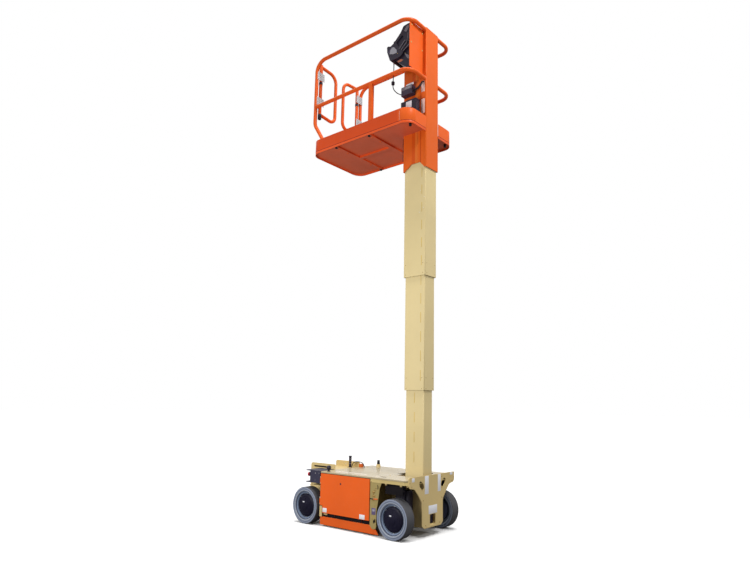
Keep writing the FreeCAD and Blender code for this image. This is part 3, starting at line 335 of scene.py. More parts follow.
# Piece helpers
class Piece:
    """One mesh in the object's frame, filled by simple forms, that rides on a body."""

    def __init__(self, name, finish, body):
        self.name = name
        self.finish = finish
        self.body = body
        self.mesh = bmesh.new()

    def take(self, other, place=Matrix.Identity(4)):
        other.transform(place)
        data = bpy.data.meshes.new("part")
        other.to_mesh(data)
        other.free()
        self.mesh.from_mesh(data)
        bpy.data.meshes.remove(data)

    def box(self, low, high, edge=0.0008):
        part = bmesh.new()
        bmesh.ops.create_cube(part, size=1)
        low, high = Vector(low), Vector(high)
        extent = Vector([abs(value) for value in high - low])
        bmesh.ops.scale(part, vec=extent, verts=part.verts)
        bmesh.ops.translate(part, vec=(low + high) / 2, verts=part.verts)
        width = min(edge, min(extent) * 0.3)
        bmesh.ops.bevel(part, geom=part.edges[:], offset=width, segments=2, affect="EDGES", profile=0.5)
        self.take(part)

    def lathe(self, centre, axis, profile, steps):
        """Turned form: profile holds (radius, distance along the axis) from one end to the other."""
        part = bmesh.new()
        rings = []
        for radius, along in profile:
            if radius == 0:
                rings.append([part.verts.new((0, 0, along))] * steps)
                continue
            rings.append([part.verts.new((radius * math.cos(2 * math.pi * step / steps),
                                          radius * math.sin(2 * math.pi * step / steps), along))
                          for step in range(steps)])
        for first, second in zip(rings, rings[1:]):
            for step in range(steps):
                corners = (first[step], first[(step + 1) % steps], second[(step + 1) % steps], second[step])
                corners = list(dict.fromkeys(corners))
                if len(corners) > 2:
                    part.faces.new(corners)
        bmesh.ops.recalc_face_normals(part, faces=part.faces)
        turn = Vector(UP).rotation_difference(Vector(axis)).to_matrix().to_4x4()
        self.take(part, Matrix.Translation(Vector(centre)) @ turn)

    def bolt(self, centre, axis, radius, washer=True):
        """Hexagon head on its washer."""
        if washer:
            self.lathe(centre, axis, [(0, 0), (radius * 1.5, 0), (radius * 1.5, 0.0010), (0, 0.0010)], 20)
        height = radius * 0.9
        self.lathe(centre, axis, [(0, 0), (radius * 1.1, 0), (radius * 1.1, height * 0.85),
                                  (radius * 0.9, height), (0, height)], 6)

    def button(self, centre, axis, radius):
        """Domed screw head."""
        self.lathe(centre, axis, [(radius, 0), (radius * 0.95, radius * 0.3), (radius * 0.6, radius * 0.55),
                                  (0, radius * 0.62)], 16)

    def rod(self, start, end, radius, steps=16):
        start, end = Vector(start), Vector(end)
        length = (end - start).length
        self.lathe(start, end - start, [(0, 0), (radius, 0), (radius, length), (0, length)], steps)

    def plate(self, corners, low, high):
        """Flat outline of (x, z) corners between two values of y."""
        part = bmesh.new()
        face = part.faces.new([part.verts.new((x, low, z)) for x, z in corners])
        lifted = bmesh.ops.extrude_face_region(part, geom=[face])["geom"]
        bmesh.ops.translate(part, vec=(0, high - low, 0),
                            verts=[item for item in lifted if isinstance(item, bmesh.types.BMVert)])
        bmesh.ops.recalc_face_normals(part, faces=part.faces)
        bmesh.ops.bevel(part, geom=part.edges[:], offset=0.0003, segments=1, affect="EDGES", profile=0.5)
        self.take(part)

    def done(self):
        data = bpy.data.meshes.new(self.name)
        self.mesh.to_mesh(data)
        self.mesh.free()
        data.polygons.foreach_set("use_smooth", [True] * len(data.polygons))
        data.set_sharp_from_angle(angle=math.radians(40))
        data.materials.append(materials[self.finish])
        thing = bpy.data.objects.new(self.name, data)
        scene.collection.objects.link(thing)
        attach(thing, self.body)
        return thing


def boxes(name, finish, body, rows, edge=0.0008):
    """Piece made of boxes; rows hold (low corner, high corner)."""
    piece = Piece(name, finish, body)
    for low, high in rows:
        piece.box(low, high, edge)
    piece.done()


def buttons(name, finish, body, axis, radius, places):
    """Piece made of domed screw heads that look one way."""
    piece = Piece(name, finish, body)
    for place in places:
        piece.button(place, axis, radius)
    piece.done()


def turned(name, finish, body, centre, axis, steps, profile):
    """Piece that is one turned form."""
    piece = Piece(name, finish, body)
    piece.lathe(centre, axis, profile, steps)
    return piece.done()


# Wheels: black hub with five bolts, light clips and dark gaps round it, and a blank label
HUB = [(0.1008, 0.0185), (0.1012, 0.0210), (0.1010, 0.0295), (0.0955, 0.0342), (0.0800, 0.0380),
       (0.0785, 0.0372), (0.0765, 0.0374), (0.0750, 0.0392), (0.0600, 0.0418), (0.0420, 0.0442),
       (0.0345, 0.0452), (0.0330, 0.0482), (0.0310, 0.0486), (0, 0.0488)]
HUB_BOLTS, BOLT_CIRCLE, BOLT_OUT, BOLT_RADIUS = 5, 0.057, 0.0405, 0.0055
RIM_GROOVE = [(0.1248, 0.0443), (0.1252, 0.0452), (0.1262, 0.0452), (0.1266, 0.0443)]
CLIP_DEGREES, CLIP_RADIUS, CLIP_OUT = (84, 2, 272, 140), 0.1082, 0.0225
CLIP_HALVES, GAP_HALVES = (0.0050, 0.0032, 0.0055), (0.0040, 0.0018, 0.0120)
WHEEL_STEPS = 72
for side_name, side in SIDES:
    for end_name, end in (("front", 1), ("rear", -1)):
        wheel = f"{end_name}_{side_name}"
        body = "wheel_" + wheel
        centre = Vector((end * HALF_BASE, side * TRACK_Y, AXLE_Z))
        axis = Vector((0, side, 0))
        hub = Piece("hub_" + wheel, "hub_black", body)
        hub.lathe(centre, axis, HUB, WHEEL_STEPS)
        for turn in range(HUB_BOLTS):
            angle = math.radians(90 + 360 / HUB_BOLTS * turn)
            spot = Vector((math.cos(angle) * BOLT_CIRCLE, side * BOLT_OUT, math.sin(angle) * BOLT_CIRCLE))
            hub.bolt(centre + spot, axis, BOLT_RADIUS, washer=False)
        hub.done()
        clips = Piece("rim_clips_" + wheel, "zinc_plate", body)
        gaps = Piece("rim_gaps_" + wheel, "dark_gap", body)
        gaps.lathe(centre, axis, RIM_GROOVE, WHEEL_STEPS)
        for degrees in CLIP_DEGREES:
            place = (Matrix.Translation(centre) @ Matrix.Rotation(-math.radians(degrees), 4, "Y")
                     @ Matrix.Translation((CLIP_RADIUS, side * CLIP_OUT, 0)))
            for piece, halves in ((clips, CLIP_HALVES), (gaps, GAP_HALVES)):
                part = bmesh.new()
                bmesh.ops.create_cube(part, size=2, matrix=Matrix.Diagonal((*halves, 1)))
                piece.take(part, place)
        clips.done()
        gaps.done()
        label = centre + Vector((-0.015, side * 0.0440, 0.029))
        boxes("hub_label_" + wheel, "label_white", body,
              [(label - Vector((0.011, 0, 0.0045)), label + Vector((0.011, side * 0.0053, 0.0045)))], 0.0002)

# Both sides, on upright faces: name, finish, body, |y| of the face, edge, and boxes (x, x, z, z, out)
DOOR_FACE, STRIP_FACE, SILL_FACE, SILL_END_FACE, TONGUE_FACE = 0.3600, 0.3560, 0.3362, 0.3372, 0.3460
SIDE_BOXES = (
    ("door_labels", "label_white", "side_door", DOOR_FACE, 0.0001,
     ((-0.301, -0.249, 0.1265, 0.1630, 0.0004), (0.147, 0.208, 0.1225, 0.1600, 0.0004))),
    # sill: a dark panel in the slot under the door, painted shade
    ("sill", "dark_gap", "chassis", SILL_FACE, 0.0002, ((-0.306, 0.258, 0.086, 0.1185, 0.0010),)),
    ("sill_end", "cream_paint", "chassis", SILL_END_FACE, 0.0004, ((-0.306, -0.262, 0.100, 0.1165, 0.0012),)),
    # Dark sheets over the guard's tongues, painted shade in the slot
    ("tongue_covers", "dark_gap", "pothole_guard", TONGUE_FACE, 0.0001,
     ((-0.2010, -0.1590, 0.0865, 0.1180, 0.0006), (0.1190, 0.1610, 0.0865, 0.1180, 0.0006))),
    ("column_clips", "brown_bolt", "chassis", STRIP_FACE, 0.0008,
     ((0.290, 0.316, 0.3500, 0.3660, 0.0036), (0.290, 0.320, 0.3180, 0.3335, 0.0034),
      (0.288, 0.311, 0.2870, 0.2950, 0.0030), (0.297, 0.304, 0.3335, 0.3500, 0.0022),
      (0.308, 0.331, 0.3700, 0.3745, 0.0030))),
    ("column_shine", "yellow_zinc", "chassis", STRIP_FACE, 0.0008,
     ((0.294, 0.312, 0.3610, 0.3648, 0.0046), (0.294, 0.315, 0.3290, 0.3325, 0.0044),
      (0.2920, 0.2950, 0.1400, 0.1525, 0.0040))),
    ("column_slot", "dark_gap", "chassis", STRIP_FACE, 0.0002,
     ((0.3425, 0.3475, 0.3830, 0.4210, 0.0004), (0.3010, 0.3145, 0.1060, 0.1315, 0.0004))),
    ("column_strap", "black_rubber", "chassis", STRIP_FACE, 0.002, ((0.262, 0.308, 0.2975, 0.3050, 0.0050),)),
    ("column_tab", "orange_plastic", "chassis", STRIP_FACE, 0.002, ((0.305, 0.349, 0.2980, 0.3070, 0.0090),)),
    ("column_plate", "label_grey", "chassis", STRIP_FACE, 0.0002,
     ((0.2815, 0.3275, 0.1740, 0.2290, 0.0006),)),
    ("column_plate_patch", "light_grey_plastic", "chassis", STRIP_FACE + 0.0006, 0.0001,
     ((0.291, 0.316, 0.2010, 0.2170, 0.0003),)),
)
STRIP_SPOTS = ((0.275, 0.440), (0.318, 0.246), (0.322, 0.389))
DOOR_LOCK = [(0, 0), (0.0088, 0), (0.0088, 0.0020), (0.0060, 0.0032), (0.0040, 0.0010), (0, 0.0010)]
PIN_X, PIN_Y, PIN_FEET, PIN_LENGTH = -0.343, 0.356, (0.187, 0.367), 0.066
for side_name, side in SIDES:
    for name, finish, body, face, edge, rows in SIDE_BOXES:
        boxes(f"{name}_{side_name}", finish, body if body == "chassis" else f"{body}_{side_name}",
              [((x1, side * face, z1), (x2, side * (face + out), z2)) for x1, x2, z1, z2, out in rows], edge)
    turned("door_lock_" + side_name, "black_plastic", "side_door_" + side_name,
           (-0.086, side * 0.3565, 0.388), (0, side, 0), 28, DOOR_LOCK)
    pins = Piece("door_pins_" + side_name, "zinc_plate", "chassis")
    for foot in PIN_FEET:
        pins.rod((PIN_X, side * PIN_Y, foot), (PIN_X, side * PIN_Y, foot + PIN_LENGTH), 0.0028)
        pins.button((PIN_X, side * PIN_Y, foot + PIN_LENGTH - 0.003), UP, 0.0042)
    pins.done()
    buttons("column_spots_" + side_name, "brown_bolt", "chassis", (0, side, 0), 0.0042,
            [(x, side * STRIP_FACE, z) for x, z in STRIP_SPOTS])

# Screws and bolts of the end plate, deck and wheel arches, and dark panels of painted shade inside the arches
END_FACE, DECK = 0.663, 0.478
buttons("end_plate_bolts", "brown_bolt", "chassis", FORWARD, 0.0042,
        [(END_FACE, y, z) for y, z in ((-0.298, 0.425), (-0.324, 0.455), (0.298, 0.425), (0.324, 0.455),
                                       (-0.102, 0.097), (0.102, 0.097), (0.136, 0.383), (0.129, 0.474),
                                       (-0.136, 0.300), (0.136, 0.300))])
buttons("deck_bolts", "yellow_zinc", "chassis", UP, 0.0055,
        [(x, side * y, DECK) for side in SIGNS for x, y in ((-0.2345, 0.163), (0.316, 0.155))])
ARCH_WASHER = [(0, 0), (0.0130, 0), (0.0130, 0.003), (0, 0.003)]
ARCH_HEAD = [(0.0095, 0), (0.0095, 0.009), (0.008, 0.011), (0, 0.011)]
arch_bolts = Piece("arch_bolts", "cream_paint", "chassis")
for side in SIGNS:
    for x, y in ((0.4276, 0.343), (0.5875, 0.343), (0.6430, 0.326)):
        arch_bolts.lathe((x, side * y, ROOF), DOWN, ARCH_WASHER, 20)
        arch_bolts.lathe((x, side * y, ROOF - 0.003), DOWN, ARCH_HEAD, 6)
arch_bolts.done()
boxes("arch_shade_panels", "dark_gap", "chassis",
      [((0.400, side * 0.3160, 0.350), (0.585, side * 0.3200, ROOF)) for side in SIGNS])

# Dark marks and blank labels on the deck, and blank labels on the end plate
LABEL = 0.0004
boxes("deck_marks", "dark_gap", "chassis",
      [((0.314, -0.2900, DECK), (0.376, -0.2740, DECK + LABEL)),
       ((0.500, 0.212, DECK), (0.510, 0.222, DECK + 0.004))], 0.0001)
boxes("deck_labels", "label_cream", "chassis",
      [((-0.2526, -0.2640, DECK), (0.1240, -0.2380, DECK + LABEL)),
       ((0.2680, -0.2920, DECK), (0.3120, -0.2720, DECK + LABEL))], 0.0001)
boxes("end_plate_labels", "label_white", "chassis",
      [((END_FACE, y1, z1), (END_FACE + LABEL, y2, z2)) for y1, y2, z1, z2 in
       ((-0.116, -0.061, 0.349, 0.497), (0.075, 0.119, 0.354, 0.497), (-0.297, -0.261, 0.462, 0.494),
        (0.264, 0.306, 0.476, 0.497), (-0.060, 0.064, 0.182, 0.250))], 0.0001)

# Charging plug behind the service opening, and a dark panel behind the tub's slot, painted shade inside the
# slot
boxes("charging_plug", "black_plastic", "chassis",
      [((0.6120, -0.0400, 0.0970), (0.6370, 0.0400, 0.1710)),
       ((0.6370, -0.0400, 0.1560), (0.6395, 0.0400, 0.1710))], 0.002)
boxes("tub_slot_shade", "dark_gap", "chassis",
      [((-0.632, -0.1668, 0.4730), (-0.446, -0.1655, 0.5080))], 0.0002)

# Deck fittings and ground control: screws, plunger bands, knob grip
channel_screws = Piece("channel_screws", "white_plastic", "chassis")
for x, z, radius in ((-0.4165, 0.4560, 0.0034), (-0.372, 0.4560, 0.0022), (-0.4165, 0.392, 0.0022)):
    channel_screws.button((x, -0.3540, z), TO_RIGHT, radius)
channel_screws.done()
PLUNGER = Vector((-0.382, 0.075, 0))
PLUNGER_BAND = [(0.0130, 0), (0.0136, 0.0008), (0.0136, 0.0032), (0.0130, 0.004)]
plunger_bands = Piece("plunger_bands", "grey_plastic", "guard_plunger")
for z in (0.512, 0.534, 0.556):
    plunger_bands.lathe(PLUNGER + Vector((0, 0, z)), UP, PLUNGER_BAND, 32)
plunger_bands.done()
KNOB = Vector((-0.283, -0.315, DECK))
LOBES, LOBE_CIRCLE, LOBE_FOOT, CROWN_FOOT = 8, 0.0150, 0.020, 0.046
LOBE = [(0, 0), (0.0042, 0), (0.0048, 0.002), (0.0048, 0.022), (0.0036, 0.025), (0, 0.025)]
KNOB_CROWN = [(0.0168, 0), (0.0150, 0.0035), (0.0100, 0.0060), (0, 0.0070)]
KNOB_FOOT = [(0.0160, 0), (0.0160, 0.003), (0.0110, 0.006), (0, 0.006)]
knob = Piece("knob_grip", "black_plastic", "chassis")
for turn in range(LOBES):
    angle = math.radians(360 / LOBES * turn)
    spot = Vector((math.cos(angle) * LOBE_CIRCLE, math.sin(angle) * LOBE_CIRCLE, LOBE_FOOT))
    knob.lathe(KNOB + spot, UP, LOBE, 14)
knob.lathe(KNOB + Vector((0, 0, CROWN_FOOT)), UP, KNOB_CROWN, 28)
knob.lathe(KNOB, UP, KNOB_FOOT, 24)
knob.done()

# Turned fittings: name, finish, centre, axis, profile
STOP_Y, STOP_Z = -0.342, 0.440
for name, finish, centre, axis, profile in (
        ("plunger_ring", "black_rubber", PLUNGER + Vector((0, 0, DECK)), UP,
         [(0.0200, 0), (0.0200, 0.003), (0.0165, 0.006), (0.0140, 0.006), (0.0140, 0)]),
        ("deck_stop_cup", "cream_paint", (-0.209, 0.300, DECK), UP,
         [(0.0235, 0), (0.0225, 0.004), (0.0190, 0.024), (0.0172, 0.026), (0.0150, 0.026)]),
        ("stop_button_collar", "black_plastic", (-0.486, STOP_Y, STOP_Z), BACK,
         [(0.0180, 0), (0.0180, 0.004), (0.0150, 0.007), (0.0095, 0.007)]),
        ("stop_button_crown", "red_plastic", (-0.512, STOP_Y, STOP_Z), BACK,
         [(0.0188, 0), (0.0170, 0.003), (0.0110, 0.0050), (0, 0.0056)])):
    turned(name, finish, "chassis", centre, axis, 32, profile)

# Battery lids and caps, seen with a door open
BATTERY_STARTS, BATTERY_LENGTH = (-0.322, -0.132, 0.058), 0.180
BATTERY_CAP = [(0, 0), (0.014, 0), (0.014, 0.004), (0.011, 0.006), (0, 0.006)]
caps = Piece("battery_caps", "red_plastic", "chassis")
for start in BATTERY_STARTS:
    for row in range(2):
        for column in range(3):
            caps.lathe((start + 0.035 + 0.055 * column, -0.285 + 0.090 * row, 0.332), UP, BATTERY_CAP, 20)
caps.done()
boxes("battery_lids", "black_plastic", "chassis",
      [((start + 0.004, -0.334, 0.300), (start + BATTERY_LENGTH - 0.004, -0.330, 0.330))
       for start in BATTERY_STARTS])

# Mast: weld stitches down both sides; flush screws, slide pads and a dark strip of painted shade at each
# raised sleeve's foot
# name, body, rear x, front x, half width, foot z, seam x, first stitch z, pitch, stitch length, stitches
STAGES = (
    ("mast_stage_1", "chassis", 0.410, 0.610, 0.065, 0.096, 0.507, 0.596, 0.1705, 0.090, 5),
    ("mast_stage_2", "mast_stage_2", 0.398, 0.622, 0.077, 1.217, 0.580, 1.298, 0.1735, 0.097, 6),
    ("mast_stage_3", "mast_stage_3", 0.386, 0.634, 0.089, 2.252, 0.5935, 2.345, 0.1700, 0.092, 6),
)
# Screws of the sides: (x, x), (z, z)
FOOT_SCREWS = {"mast_stage_2": ((0.421, 0.5945), (1.2305, 1.326)),
               "mast_stage_3": ((0.411, 0.608), (2.275, 2.366))}
FLUSH_HEAD = [(0.0038, 0), (0.0036, 0.0003), (0.0012, 0.0003), (0, 0.0001)]
STITCH_HALF, STITCH_OUT = 0.0025, 0.0010
PAD_LOW, PAD_HIGH, FOOT_SHADE_LOW, FOOT_SHADE_HIGH = 0.004, 0.040, 0.0004, 0.0036
PAD_IN, PAD_OUT = 0.0115, 0.0062
for name, body, rear, front, half, foot, seam_x, first, pitch, length, count in STAGES:
    boxes(name + "_seam", "weld", body,
          [((seam_x - STITCH_HALF, side * half, first + pitch * number),
            (seam_x + STITCH_HALF, side * (half + STITCH_OUT), first + pitch * number + length))
           for number in range(count) for side in SIGNS])
    if name not in FOOT_SCREWS:
        continue
    screw_x, screw_z = FOOT_SCREWS[name]
    screws = Piece(name + "_screws", "brown_bolt", body)
    for z in screw_z:
        for x in screw_x:
            for side in SIGNS:
                screws.lathe((x, side * half, z), (0, side, 0), FLUSH_HEAD, 16)
        for face, sign in ((front, 1), (rear, -1)):
            for y in (-half + 0.028, half - 0.028):
                screws.lathe((face, y, z), (sign, 0, 0), FLUSH_HEAD, 16)
    screws.done()
    inner, outer = half - PAD_IN, half - PAD_OUT
    low, high = foot + PAD_LOW, foot + PAD_HIGH
    foot_shade_low, foot_shade_high = foot + FOOT_SHADE_LOW, foot + FOOT_SHADE_HIGH
    pads, foot_shade = [], []
    for side in SIGNS:
        for x in (rear + 0.030, front - 0.060):
            pads.append(((x, side * inner, low), (x + 0.030, side * outer, high)))
        foot_shade.append(((rear + 0.0125, side * (inner + 0.001), foot_shade_low),
                      (front - 0.0125, side * outer, foot_shade_high)))
    for face, sign in ((rear + PAD_OUT, 1), (front - PAD_OUT, -1)):
        for y in (-half + 0.020, half - 0.042):
            pads.append(((face, y, low), (face + sign * 0.0053, y + 0.022, high)))
        foot_shade.append(((face, -half + 0.008, foot_shade_low), (face + sign * 0.0043, half - 0.008, foot_shade_high)))
    boxes(name + "_pads", "white_plastic", body, pads)
    boxes(name + "_wiper", "dark_gap", body, foot_shade, 0.0003)
# Pale dots on the third stage: painted highlights
buttons("mast_stage_3_highlights", "label_white", "mast_stage_3", TO_RIGHT, 0.0030,
        [(x, -0.089, z) for x, z in ((0.579, 3.065), (0.621, 2.995), (0.612, 2.892), (0.405, 3.060),
                                     (0.419, 3.196), (0.566, 2.854))])

# Carriage: pale glossy plates in the groove, a painted reflection, with a cross band, and a dark strip of
# painted shade on its rear edge
boxes("carriage_sheen_plates", "sheen", "platform",
      [((0.5865, side * 0.0975, low), (0.6300, side * 0.0990, high))
       for low, high in ((3.830, 3.980), (4.052, 4.165)) for side in SIGNS], 0.0004)
boxes("carriage_cross_bands", "orange_paint", "platform",
      [((0.5855, side * 0.0980, 3.986), (0.6310, side * 0.1012, 4.049)) for side in SIGNS])
boxes("carriage_rear_shade", "black_plastic", "platform",
      [((0.3660, -0.0960, 3.400), (0.3740, -0.0620, 3.630))])

# Weld lines of the toe board: pale strips that paint the highlight along each weld
WELD_LINE_X = 0.536
boxes("toe_weld_highlights", "label_cream", "platform",
      [((WELD_LINE_X - 0.0010, side * 0.3680, 3.6640), (WELD_LINE_X + 0.0010, side * 0.3684, 3.7585))
       for side in SIGNS], 0.0001)

# Dark seam between the pan's rim and the toe board: a dark red strip in the groove, painted shade
PAN_REAR, PAN_FRONT, PAN_HALF, PAN_RADIUS = -0.636, 0.648, 0.368, 0.105
SEAM_OUT, SEAM_LEVELS, COLUMN_HALF, ARC_STEPS = 0.0004, (3.6586, 3.6636), 0.102, 8
# Corner's x and y sign, and the angle at which its arc starts
PAN_CORNERS = ((PAN_FRONT, 1, 0), (PAN_REAR, 1, 90), (PAN_REAR, -1, 180), (PAN_FRONT, -1, 270))
seam_path = [Vector((PAN_FRONT + SEAM_OUT, COLUMN_HALF))]
for corner_x, sign, start in PAN_CORNERS:
    middle = Vector((corner_x - math.copysign(PAN_RADIUS, corner_x), sign * (PAN_HALF - PAN_RADIUS)))
    for step in range(ARC_STEPS + 1):
        angle = math.radians(start + 90 * step / ARC_STEPS)
        seam_path.append(middle + Vector((math.cos(angle), math.sin(angle))) * (PAN_RADIUS + SEAM_OUT))
seam_path.append(Vector((PAN_FRONT + SEAM_OUT, -COLUMN_HALF)))
seam = Piece("toe_seam", "seam_red", "platform")
ribbon = bmesh.new()
edges = [[ribbon.verts.new((*spot, z)) for z in SEAM_LEVELS] for spot in seam_path]
for (low_a, high_a), (low_b, high_b) in zip(edges, edges[1:]):
    ribbon.faces.new((low_a, low_b, high_b, high_a))
seam.take(ribbon)
seam.done()

# Console plate bolts
plate_bolts = Piece("console_plate_bolts", "yellow_zinc", "platform")
for y, z in ((-0.2805, 4.664), (-0.292, 4.4755), (-0.113, 4.658), (-0.113, 4.477)):
    plate_bolts.bolt((0.605, y, z), FORWARD, 0.0056)
plate_bolts.done()

# Gates: cover plates with rows of small holes, black bush under the upper plate, black foot cap
PIVOT_X, PIVOT_Y = -0.623, 0.286
PLATE_FEET, PLATE_FRONT, PLATE_REAR, HOLE_ROWS = (4.212, 4.502), -0.597, -0.600, 4
HOLE = [(0.0042, 0.0), (0.0042, 0.0003), (0, 0.0003)]
BUSH = [(0.0182, 0), (0.0202, 0.001), (0.0202, 0.028), (0.0182, 0.029)]
FOOT_CAP = [(0, 0), (0.0160, 0), (0.0192, 0.004), (0.0192, 0.056), (0.0182, 0.057)]
for side_name, side in SIDES:
    holes = Piece("hinge_holes_" + side_name, "dark_gap", "platform")
    for foot in PLATE_FEET:
        for row in range(HOLE_ROWS):
            for column in range(HOLE_ROWS):
                place = (side * (0.340 - 0.022 * column), foot + 0.014 + 0.020 * row)
                holes.lathe((PLATE_FRONT, *place), FORWARD, HOLE, 10)
                holes.lathe((PLATE_REAR, *place), BACK, HOLE, 10)
    holes.done()
    bush = Piece("gate_bush_" + side_name, "black_plastic", "gate_" + side_name)
    bush.lathe((PIVOT_X, side * PIVOT_Y, 4.468), UP, BUSH, 32)
    bush.lathe((PIVOT_X, side * PIVOT_Y, 4.070), UP, FOOT_CAP, 32)
    bush.done()

# Weld collars where the rails and posts stand on the pan
FLOOR_Z = 3.6600
collars = Piece("rail_collars", "orange_paint", "platform")
for side in SIGNS:
    collars.lathe((-0.493, side * 0.345, FLOOR_Z), UP, [(0.0235, 0), (0.0220, 0.003), (0.0192, 0.006)], 32)
    collars.box((0.1400, side * 0.3230, FLOOR_Z), (0.1840, side * 0.3640, 3.6640), 0.0020)
collars.done()

# Raised tread bars of the platform floor, turned one way and the other
TREAD_FOOT, TREAD_TOP, TREAD_ROWS, TREAD_COLUMNS = 3.6630, 3.6645, 20, 30
BAR_HALF, BAR_THIN, BAR_TILT = 0.008, 0.003, 0.008
tread = Piece("platform_tread", "orange_paint", "platform")
for row in range(TREAD_ROWS):
    for column in range(TREAD_COLUMNS):
        x = -0.560 + 0.0305 * column
        y = -0.285 + 0.030 * row
        tilt = BAR_TILT if (row + column) % 2 else -BAR_TILT
        part = bmesh.new()
        rim = [part.verts.new((x + step, y + shift, TREAD_FOOT))
               for step, shift in ((-BAR_HALF, -tilt), (0, -BAR_THIN), (BAR_HALF, tilt), (0, BAR_THIN))]
        peak = part.verts.new((x, y, TREAD_TOP))
        for first, second in zip(rim, rim[1:] + rim[:1]):
            part.faces.new((first, second, peak))
        tread.take(part)
tread.done()

# Console: panels, ridges, nose patch and housing details. y of the shell's sides and the housing's near side
NEAR, FAR, HOUSING = -0.278, -0.118, -0.258


def ridge(start, end, width):
    """Outline of a straight bar between two (x, z) points."""
    start, end = Vector(start), Vector(end)
    offset = (end - start).orthogonal().normalized() * width
    return [tuple(start - offset), tuple(end - offset), tuple(end + offset), tuple(start + offset)]


# name, finish, how far they stand out, whether on both sides of the shell or on the housing, (x, z) outlines
CONSOLE_PANELS = (
    ("console_upper_panel", "grey_plastic", 0.0012, True,
     [[(0.539, 4.678), (0.567, 4.679), (0.567, 4.653), (0.536, 4.618), (0.506, 4.640)]]),
    ("console_nose_patch", "light_grey_plastic", 0.0012, True,
     [[(0.352, 4.522), (0.385, 4.516), (0.418, 4.474), (0.420, 4.442), (0.377, 4.444), (0.330, 4.462),
       (0.338, 4.494)]]),
    ("console_nose_shade", "violet_plastic", 0.0012, True, [ridge((0.362, 4.530), (0.312, 4.478), 0.0060)]),
    ("console_ridges", "grey_plastic", 0.0030, True,
     [ridge((0.526, 4.540), (0.452, 4.471), 0.0028), ridge((0.545, 4.509), (0.475, 4.450), 0.0028),
      ridge((0.568, 4.471), (0.505, 4.431), 0.0028), ridge((0.560, 4.600), (0.548, 4.520), 0.0024),
      ridge((0.574, 4.640), (0.572, 4.530), 0.0024)]),
    ("console_ridge_gaps", "dark_gap", 0.0008, True,
     [ridge((0.530, 4.522), (0.462, 4.459), 0.0050), ridge((0.553, 4.490), (0.490, 4.441), 0.0045),
      [(0.527, 4.511), (0.567, 4.508), (0.568, 4.492), (0.538, 4.497)]]),
    ("console_lump", "grey_plastic", 0.0080, False,
     [[(0.505, 4.412), (0.558, 4.372), (0.565, 4.335), (0.540, 4.347)]]),
    ("console_brown_patch", "brown_plastic", 0.0010, False,
     [[(0.411, 4.366), (0.461, 4.371), (0.488, 4.350), (0.461, 4.343), (0.428, 4.345)]]),
)
for name, finish, out, on_shell, outlines in CONSOLE_PANELS:
    panel = Piece(name, finish, "platform")
    near = NEAR if on_shell else HOUSING
    for corners in outlines:
        panel.plate(corners, near, near - out)
        if on_shell:
            panel.plate(corners, FAR, FAR + out)
    panel.done()
buttons("console_screws", "yellow_zinc", "platform", TO_RIGHT, 0.0034,
        [(0.430, NEAR, 4.431), (0.517, -0.266, 4.406), (0.585, NEAR, 4.480), (0.585, NEAR, 4.680)])
boxes("console_face_keys", "grey_plastic", "platform",
      [((0.4310 + 0.016 * key, -0.250 + 0.024 * row, 4.6020 + 0.0135 * key),
        (0.4420 + 0.016 * key, -0.236 + 0.024 * row, 4.6160 + 0.0135 * key))
       for key in range(2) for row in range(4)])
turned("console_stick", "black_rubber", "platform", (0.330, -0.198, 4.545), UP, 28,
       [(0.020, 0), (0.018, 0.006), (0.014, 0.012), (0.010, 0.018), (0.0055, 0.024), (0.0055, 0.050),
        (0.012, 0.056), (0.013, 0.085), (0.009, 0.094), (0, 0.096)])
roller = Piece("console_roller", "black_rubber", "platform")
roller.rod((0.372, -0.255, 4.3790), (0.372, -0.141, 4.3790), 0.0100, 24)
roller.done()

# Control box and document box
boxes("control_box_top", "grey_plastic", "platform",
      [((0.3900, -0.1612, 4.0980), (0.5160, -0.1596, 4.1330)),
       ((0.3910, -0.1590, 4.1350), (0.5150, -0.1030, 4.1364))])
boxes("control_box_patch", "light_grey_plastic", "platform",
      [((0.4350, -0.1618, 4.1050), (0.4980, -0.1611, 4.1240))], 0.0002)
boxes("control_box_tag", "label_white", "platform", [((0.4400, -0.1525, 4.1350), (0.5320, -0.1505, 4.1560))])
boxes("document_box_rim", "black_plastic", "platform",
      [((0.3925, -0.1668, 3.9640), (0.5735, -0.1010, 3.9750)),
       ((0.3925, -0.1662, 3.7900), (0.3980, -0.1640, 3.9640)),
       ((0.5680, -0.1662, 3.7900), (0.5735, -0.1640, 3.9640))])
boxes("document_box_label", "label_white", "platform",
      [((0.4530, -0.1656, 3.8950), (0.5220, -0.1650, 3.9620))], 0.0002)

# Underside of the platform: bolts through the ribs
rib_bolts = Piece("rib_bolts", "orange_paint", "platform")
for x in (-0.290, 0.150):
    for y in (-0.300, -0.180, 0.180, 0.300):
        rib_bolts.bolt((x, y, 3.6370), DOWN, 0.0060)
rib_bolts.done()

# Motor bolts and drive covers on the knuckles
MOTOR_BOLTS, MOTOR_CIRCLE, MOTOR_FACE = 6, 0.044, 0.190
for side_name, side in SIDES:
    cap_bolts = Piece("motor_bolts_" + side_name, "zinc_plate", "knuckle_" + side_name)
    for turn in range(MOTOR_BOLTS):
        angle = math.radians(360 / MOTOR_BOLTS * turn)
        cap_bolts.bolt((HALF_BASE + MOTOR_CIRCLE * math.cos(angle), side * MOTOR_FACE,
                        AXLE_Z + MOTOR_CIRCLE * math.sin(angle)), (0, -side, 0), 0.0040)
    cap_bolts.done()
    boxes("drive_cover_" + side_name, "axle_black", "knuckle_" + side_name,
          [((0.4500, side * 0.1780, 0.2160), (0.5900, side * 0.2500, 0.3840))], 0.012)


